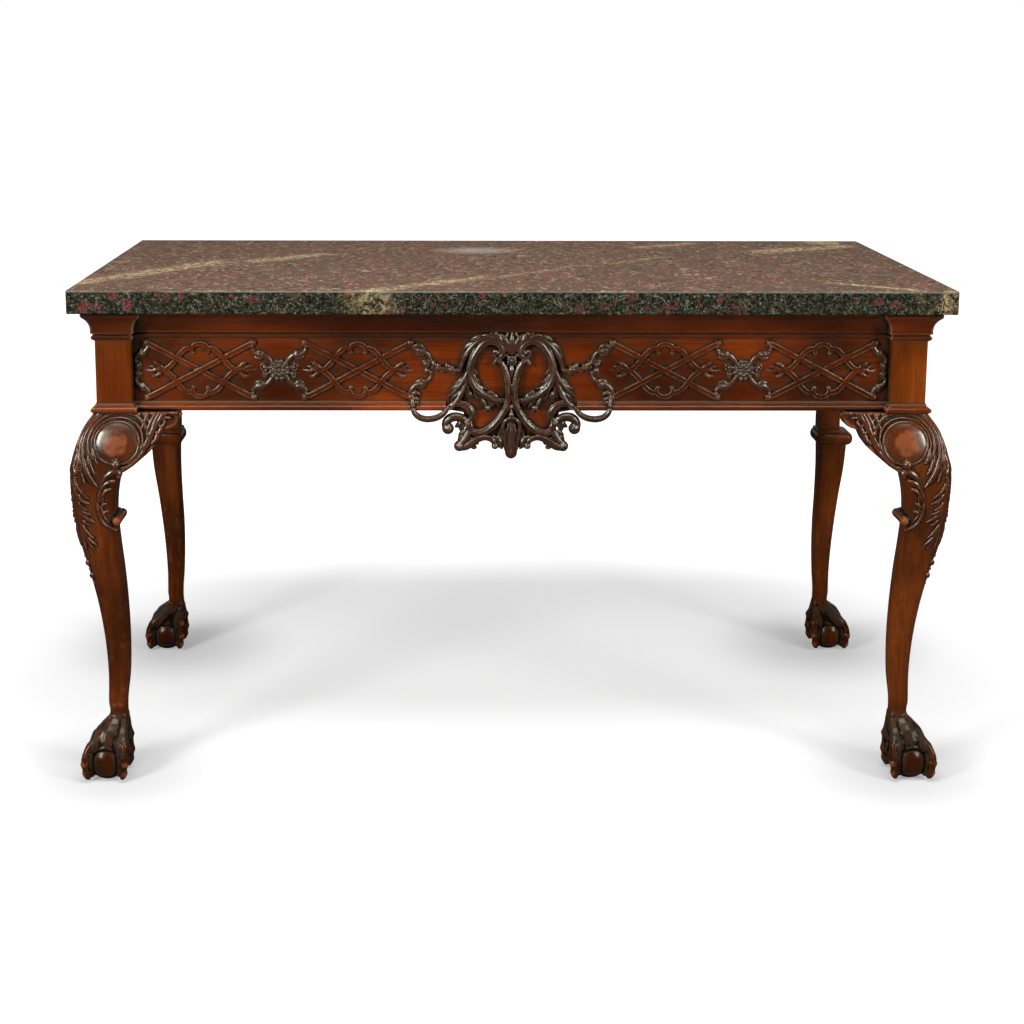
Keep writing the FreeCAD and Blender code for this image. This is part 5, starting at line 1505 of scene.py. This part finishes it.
def crownDrawing():
    lines = [
        ("leaf", [(772, 240, 8), (772, 190, 11), (772, 140, 12), (772, 96, 11)], (3, 5.4, 4.6, 1.2)),
        ("leaf", [(764, 235, 8), (748, 185, 11), (728, 142, 12), (700, 104, 11)], (2.2, 4.2, 3.8, 1.0)),
        ("leaf", [(756, 230, 8), (728, 182, 10.5), (690, 150, 11.5), (648, 122, 11)], (2.0, 4.0, 3.6, 1.0)),
        ("leaf", [(748, 205, 8), (715, 160, 11), (672, 122, 12), (628, 98, 11)], (1.6, 3.4, 3.2, 1.0)),
        ("leaf", [(690, 158, 9), (648, 132, 11), (606, 116, 11.5), (570, 120, 10.5)], (1.4, 3.4, 3.2, 0.9)),
        ("leaf", [(640, 128, 9), (612, 122, 10), (590, 134, 9), (572, 156, 7)], (1.2, 2.8, 2.4, 0.8)),
        ("leaf", [(738, 160, 9), (734, 128, 11.5), (744, 104, 11), (738, 92, 9.5)], (1.2, 2.6, 2.2, 0.8)),
        ("leaf", [(720, 140, 9), (690, 122, 11.5), (668, 100, 11.5), (664, 92, 10)], (1.2, 2.8, 2.2, 0.8)),
        ("blob", (735, 200, 8), (4.0, 4.6, 4.0)), ("blob", (708, 178, 8), (3.2, 3.2, 3.6)),
        ("leaf", [(752, 262, 8), (736, 246, 9), (722, 250, 8), (716, 268, 6)], (1.4, 2.6, 2.2, 1.0)),
        ("leaf", [(750, 300, 8), (732, 312, 8), (722, 300, 7), (728, 284, 6)], (1.2, 2.4, 2.0, 0.9)),
    ]
    made = mirrored(fromBoard(apronBoard, lines))
    # the flower below the crown and the stem that hangs from it
    x, y = onBoard(apronBoard, 772, 280)
    made += [("blob", (x, y, 9.5), (3.4, 3.4, 3.6)), ("blob", (x, y, 6.5), (7.6, 7.6, 4.0))]
    for k in range(8):
        a = 2 * math.pi * (k + 0.5) / 8
        made.append(("blob", (x + 6.2 * math.cos(a), y + 6.2 * math.sin(a), 9.0), (2.5, 2.5, 2.4)))
    stem = [("leaf", [(772, 306, 8), (772, 340, 10), (772, 382, 9), (772, 412, 6)], (3.2, 4.8, 3.0, 0.9)),
            ("leaf", [(760, 318, 9), (762, 350, 9), (767, 380, 7)], (1.2, 2.2, 0.8)),
            ("leaf", [(784, 318, 9), (782, 350, 9), (777, 380, 7)], (1.2, 2.2, 0.8))]
    return made + fromBoard(apronBoard, stem)


def pendantDrawing():
    lines = [
        # ear
        ("leaf", [(486, 676, 5), (452, 656, 6.5), (412, 647, 7), (372, 653, 7), (341, 680, 6.5),
                  (334, 716, 6)], (4.2, 6.6, 7.4, 6.8, 5.8)),
        ("leaf", [(470, 662, 9), (430, 652, 10), (390, 655, 10), (362, 676, 9)], (1.0, 1.8, 1.1)),
        ("blob", (352, 722, 4), (9.8, 9.8, 8.6)), ("blob", (358, 718, 10), (4.8, 4.8, 4.0)),
        ("leaf", [(452, 668, 5), (434, 688, 5.5), (414, 706, 3), (398, 716, 0)], (2.6, 4.8, 4.2, 1.8)),
        ("leaf", [(468, 680, 5), (452, 704, 5), (438, 722, 3), (428, 736, 0)], (2.4, 4.4, 3.8, 1.6)),
        # lower knob and its serrated neck
        ("leaf", [(498, 735, 5), (478, 768, 6), (456, 800, 6.5), (434, 822, 6)], (5.4, 7.0, 7.2, 6.2)),
        ("blob", (428, 836, 4), (9.2, 9.2, 8.4)), ("blob", (432, 834, 10), (4.6, 4.6, 4.0)),
        ("leaf", [(480, 738, 5), (452, 748, 5), (434, 764, 3), (424, 782, 0)], (2.2, 4.2, 3.6, 1.6)),
        ("leaf", [(466, 764, 5), (444, 772, 4.5), (428, 788, 2.5), (418, 802, 0)], (2.0, 3.8, 3.2, 1.5)),
        # arches with their curls and teeth
        ("leaf", [(428, 846, 6), (470, 836, 7), (514, 808, 7.5), (560, 784, 7.5), (606, 779, 7.5),
                  (646, 796, 7), (668, 826, 5.5)], (6.0, 7.4, 7.0, 5.4, 5.0, 4.2)),
        ("leaf", [(450, 832, 10), (500, 806, 11), (550, 778, 11), (604, 768, 11), (650, 782, 9.5)],
         (1.0, 1.9, 1.8, 1.1)),
        ("blob", (664, 836, 4), (5.8, 5.8, 6.0)),
        ("leaf", [(512, 808, 5), (516, 828, 5), (528, 846, 3), (544, 846, 1)], (3.0, 5.4, 4.6, 2.0)),
        ("leaf", [(540, 795, 5), (544, 816, 4.5), (556, 826, 2.5)], (2.0, 4.0, 2.0)),
        ("leaf", [(682, 776, 6), (694, 806, 6.5), (702, 836, 4.5), (714, 860, 1)], (2.6, 4.8, 4.2, 1.9)),
        ("leaf", [(650, 770, 6), (678, 792, 6), (698, 820, 4), (690, 850, 1.5)], (2.4, 4.4, 4.0, 1.9)),
        ("leaf", [(702, 760, 6), (718, 796, 6), (728, 830, 4.5), (738, 852, 2)], (1.8, 3.4, 2.8, 1.2)),
        # the tongue, its hood and flutes
        ("leaf", [(738, 720, 6), (731, 776, 7.5), (740, 834, 7), (752, 880, 6)], (2.6, 4.6, 4.2, 3.0)),
        ("leaf", [(724, 776, 8), (715, 716, 10), (732, 668, 11.5), (772, 650, 12)], (1.6, 3.0, 3.4, 3.4)),
        ("leaf", [(752, 680, 9), (748, 730, 10.5), (753, 784, 10), (760, 826, 8.5)], (1.2, 2.0, 1.8, 1.0)),
        ("leaf", [(700, 640, 5), (708, 690, 6), (700, 740, 6), (686, 772, 5)], (1.6, 3.2, 3.0, 1.4)),
    ]
    tongue = [
        ("leaf", [(772, 640, 5), (772, 720, 7), (772, 800, 7.5), (772, 872, 7)], (7.0, 7.6, 8.6, 9.6)),
        ("blob", (772, 880, 3.5), (10.0, 10.2, 8.6)),
        ("leaf", [(772, 676, 10), (772, 740, 11.5), (772, 800, 11), (772, 846, 9.5)], (1.2, 2.2, 2.0, 1.2)),
        ("blob", (772, 576, 9.5), (3.8, 3.8, 3.8)), ("blob", (772, 630, 9.5), (4.6, 4.6, 4.2)),
        ("blob", (772, 604, 9), (2.4, 2.4, 2.6))]
    return mirrored(fromBoard(apronBoard, lines)) + fromBoard(apronBoard, tongue)


def pendantBoard():
    half = pendant["board"]
    outline = half + [(-x, z) for x, z in half[:0:-1]]
    outline = [(x, z + table["railFoot"]) for x, z in outline]
    obj = sawnBoard("pendantBoard", outline, -pendant["thickness"])
    layOn(obj, onFrieze(0))
    return obj


def stalkDrawing():
    lines = [
        ("leaf", [(108, 168, 2), (126, 203, 3), (163, 221, 3.4), (202, 229, 3), (230, 262, 2.6),
                  (239, 304, 2.6)], (2.4, 3.0, 4.2, 3.0, 2.4, 2.2)),
        ("leaf", [(126, 200, 3), (148, 184, 4), (180, 192, 3), (198, 214, 1)], (1.4, 3.0, 2.4, 0.8)),
        ("leaf", [(132, 216, 3), (152, 240, 4), (180, 246, 3), (198, 238, 1)], (1.4, 3.0, 2.4, 0.8)),
        ("blob", (160, 216, 5), (4.2, 3.4, 2.8)),
        ("leaf", [(239, 350, 2.6), (236, 392, 2.8), (204, 419, 3), (163, 433, 3.4), (124, 455, 3),
                  (103, 490, 3), (112, 524, 4), (118, 562, 7)], (2.2, 2.6, 3.0, 4.2, 3.2, 2.6, 2.6)),
        ("leaf", [(200, 420, 3), (176, 410, 4), (146, 420, 3), (128, 438, 1)], (1.4, 3.0, 2.4, 0.8)),
        ("leaf", [(204, 428, 3), (182, 450, 4), (154, 456, 3), (132, 452, 1)], (1.4, 3.0, 2.4, 0.8)),
        ("blob", (164, 434, 5), (4.2, 3.2, 2.8)),
        ("leaf", [(110, 500, 3), (136, 492, 4), (160, 500, 3), (168, 520, 1)], (1.4, 3.0, 2.4, 0.9)),
        ("leaf", [(114, 530, 4), (140, 528, 4.5), (156, 540, 3), (152, 556, 1)], (1.2, 2.6, 2.0, 0.9)),
        ("leaf", [(240, 326, 2.6), (276, 334, 3), (312, 338, 3), (348, 344, 3), (388, 350, 3.4),
                  (428, 345, 4)], (2.0, 2.8, 3.2, 3.0, 2.6)),
        ("leaf", [(276, 336, 3), (264, 312, 4.2), (258, 292, 3), (268, 278, 1)], (1.6, 3.6, 3.0, 1.0)),
        ("leaf", [(298, 336, 3), (292, 314, 4), (280, 300, 2)], (1.4, 3.0, 1.0)),
        ("leaf", [(296, 340, 3), (314, 352, 3.6), (332, 356, 1.6)], (1.4, 2.8, 1.0)),
        ("leaf", [(362, 346, 3), (350, 322, 4.2), (344, 304, 3), (352, 290, 1)], (1.6, 3.6, 3.0, 1.0)),
        ("leaf", [(384, 348, 3.2), (380, 326, 4), (370, 310, 2)], (1.4, 3.0, 1.0)),
        ("leaf", [(372, 352, 3), (390, 366, 3.4), (410, 366, 1.4)], (1.2, 2.8, 1.0)),
        ("blob", (372, 342, 4.4), (4.0, 3.6, 2.8)), ("blob", (284, 332, 4.0), (3.2, 3.0, 2.6)),
    ]
    made = fromBoard(apronBoard, lines)
    made += volute(*onBoard(apronBoard, 206, 306), 6.6, 30, 1.35, 1.8, 3.0, clockwise=False, eye=2.7)
    made += volute(*onBoard(apronBoard, 208, 348), 5.0, 330, 1.2, 1.5, 2.6, clockwise=True, eye=2.1)
    return made


def swagDrawing():
    return fromBoard(apronBoard, [
        ("band", [(118, 566, 8.5), (122, 600, 11), (146, 634, 11.5), (188, 654, 11.5), (240, 656, 11.5),
                  (290, 642, 11.5), (330, 612, 11), (356, 578, 9)], (2.6, 4.2, 4.6, 4.6, 4.4, 3.0)),
        ("blob", (120, 572, 9), (4.4, 4.4, 4.2)),
        ("leaf", [(128, 560, 8), (142, 548, 9), (150, 560, 8.5), (144, 576, 8)], (1.4, 2.4, 2.0, 1.0))])


def buildCartouche():
    surface, carved = onFrieze(table["railFoot"]), finishes["carvedWood"]
    scrolls = carve("scrolls", scrollDrawing(), surface, friezeGlue)
    finishPiece(scrolls, "cartouche_carving", carved, ["cartouche_scrolls"])
    crown = carve("crown", crownDrawing(), surface, friezeGlue)
    finishPiece(crown, "crown_carving", carved, ["cartouche_crown"])
    drop = carve("pendant", pendantDrawing(), surface)
    finishPiece(pendantBoard(), "pendant_board", finishes["litBoardWood"], ["apron_pendant"])
    finishPiece(drop, "pendant_carving", carved, ["apron_pendant"])
    print("cartouche ready")
    stalk = carve("stalk", stalkDrawing(), surface, friezeGlue)
    bothEnds(stalk, "inner_scroll", finishes["dustyWood"], ["inner_scroll"])
    swag = carve("swag", swagDrawing(), surface)
    bothEnds(swag, "apron_swag", carved, ["apron_swag"])
    print("swags ready")


buildLegs()
buildKnees()
buildFrieze()
buildCartouche()
for name in sections:
    if "section_" + name in bpy.data.objects:
        bpy.data.objects.remove(bpy.data.objects["section_" + name])


# finishes of the pieces that keep their plain shape

plainFinishes = {"marble_top": "marble", "front_rail": "railWood", "side_rail": "endWood",
                 "cornice_front": "frontMoulding", "cornice_block": "frontMoulding",
                 "cornice_return": "endMoulding", "cornice_side": "endMoulding",
                 "base_moulding_front": "frontBase", "base_moulding_block": "frontBase",
                 "base_moulding_return": "endBase", "base_moulding_side": "endBase",
                 "rear_rail": "poplarLong", "cross_bearer": "poplarDeep", "glue_blocks": "poplarUpright"}
for name, piece in frame["nodes"].items():
    start = [key for key in plainFinishes if name.startswith(key)]
    piece.data.materials.clear()
    piece.data.materials.append(finishes[plainFinishes[start[0]] if start else "carvedWood"])

total = sum(len(o.data.polygons) for o in bpy.data.objects if o.type == "MESH" and not o.hide_render)
print("faces in all", total)
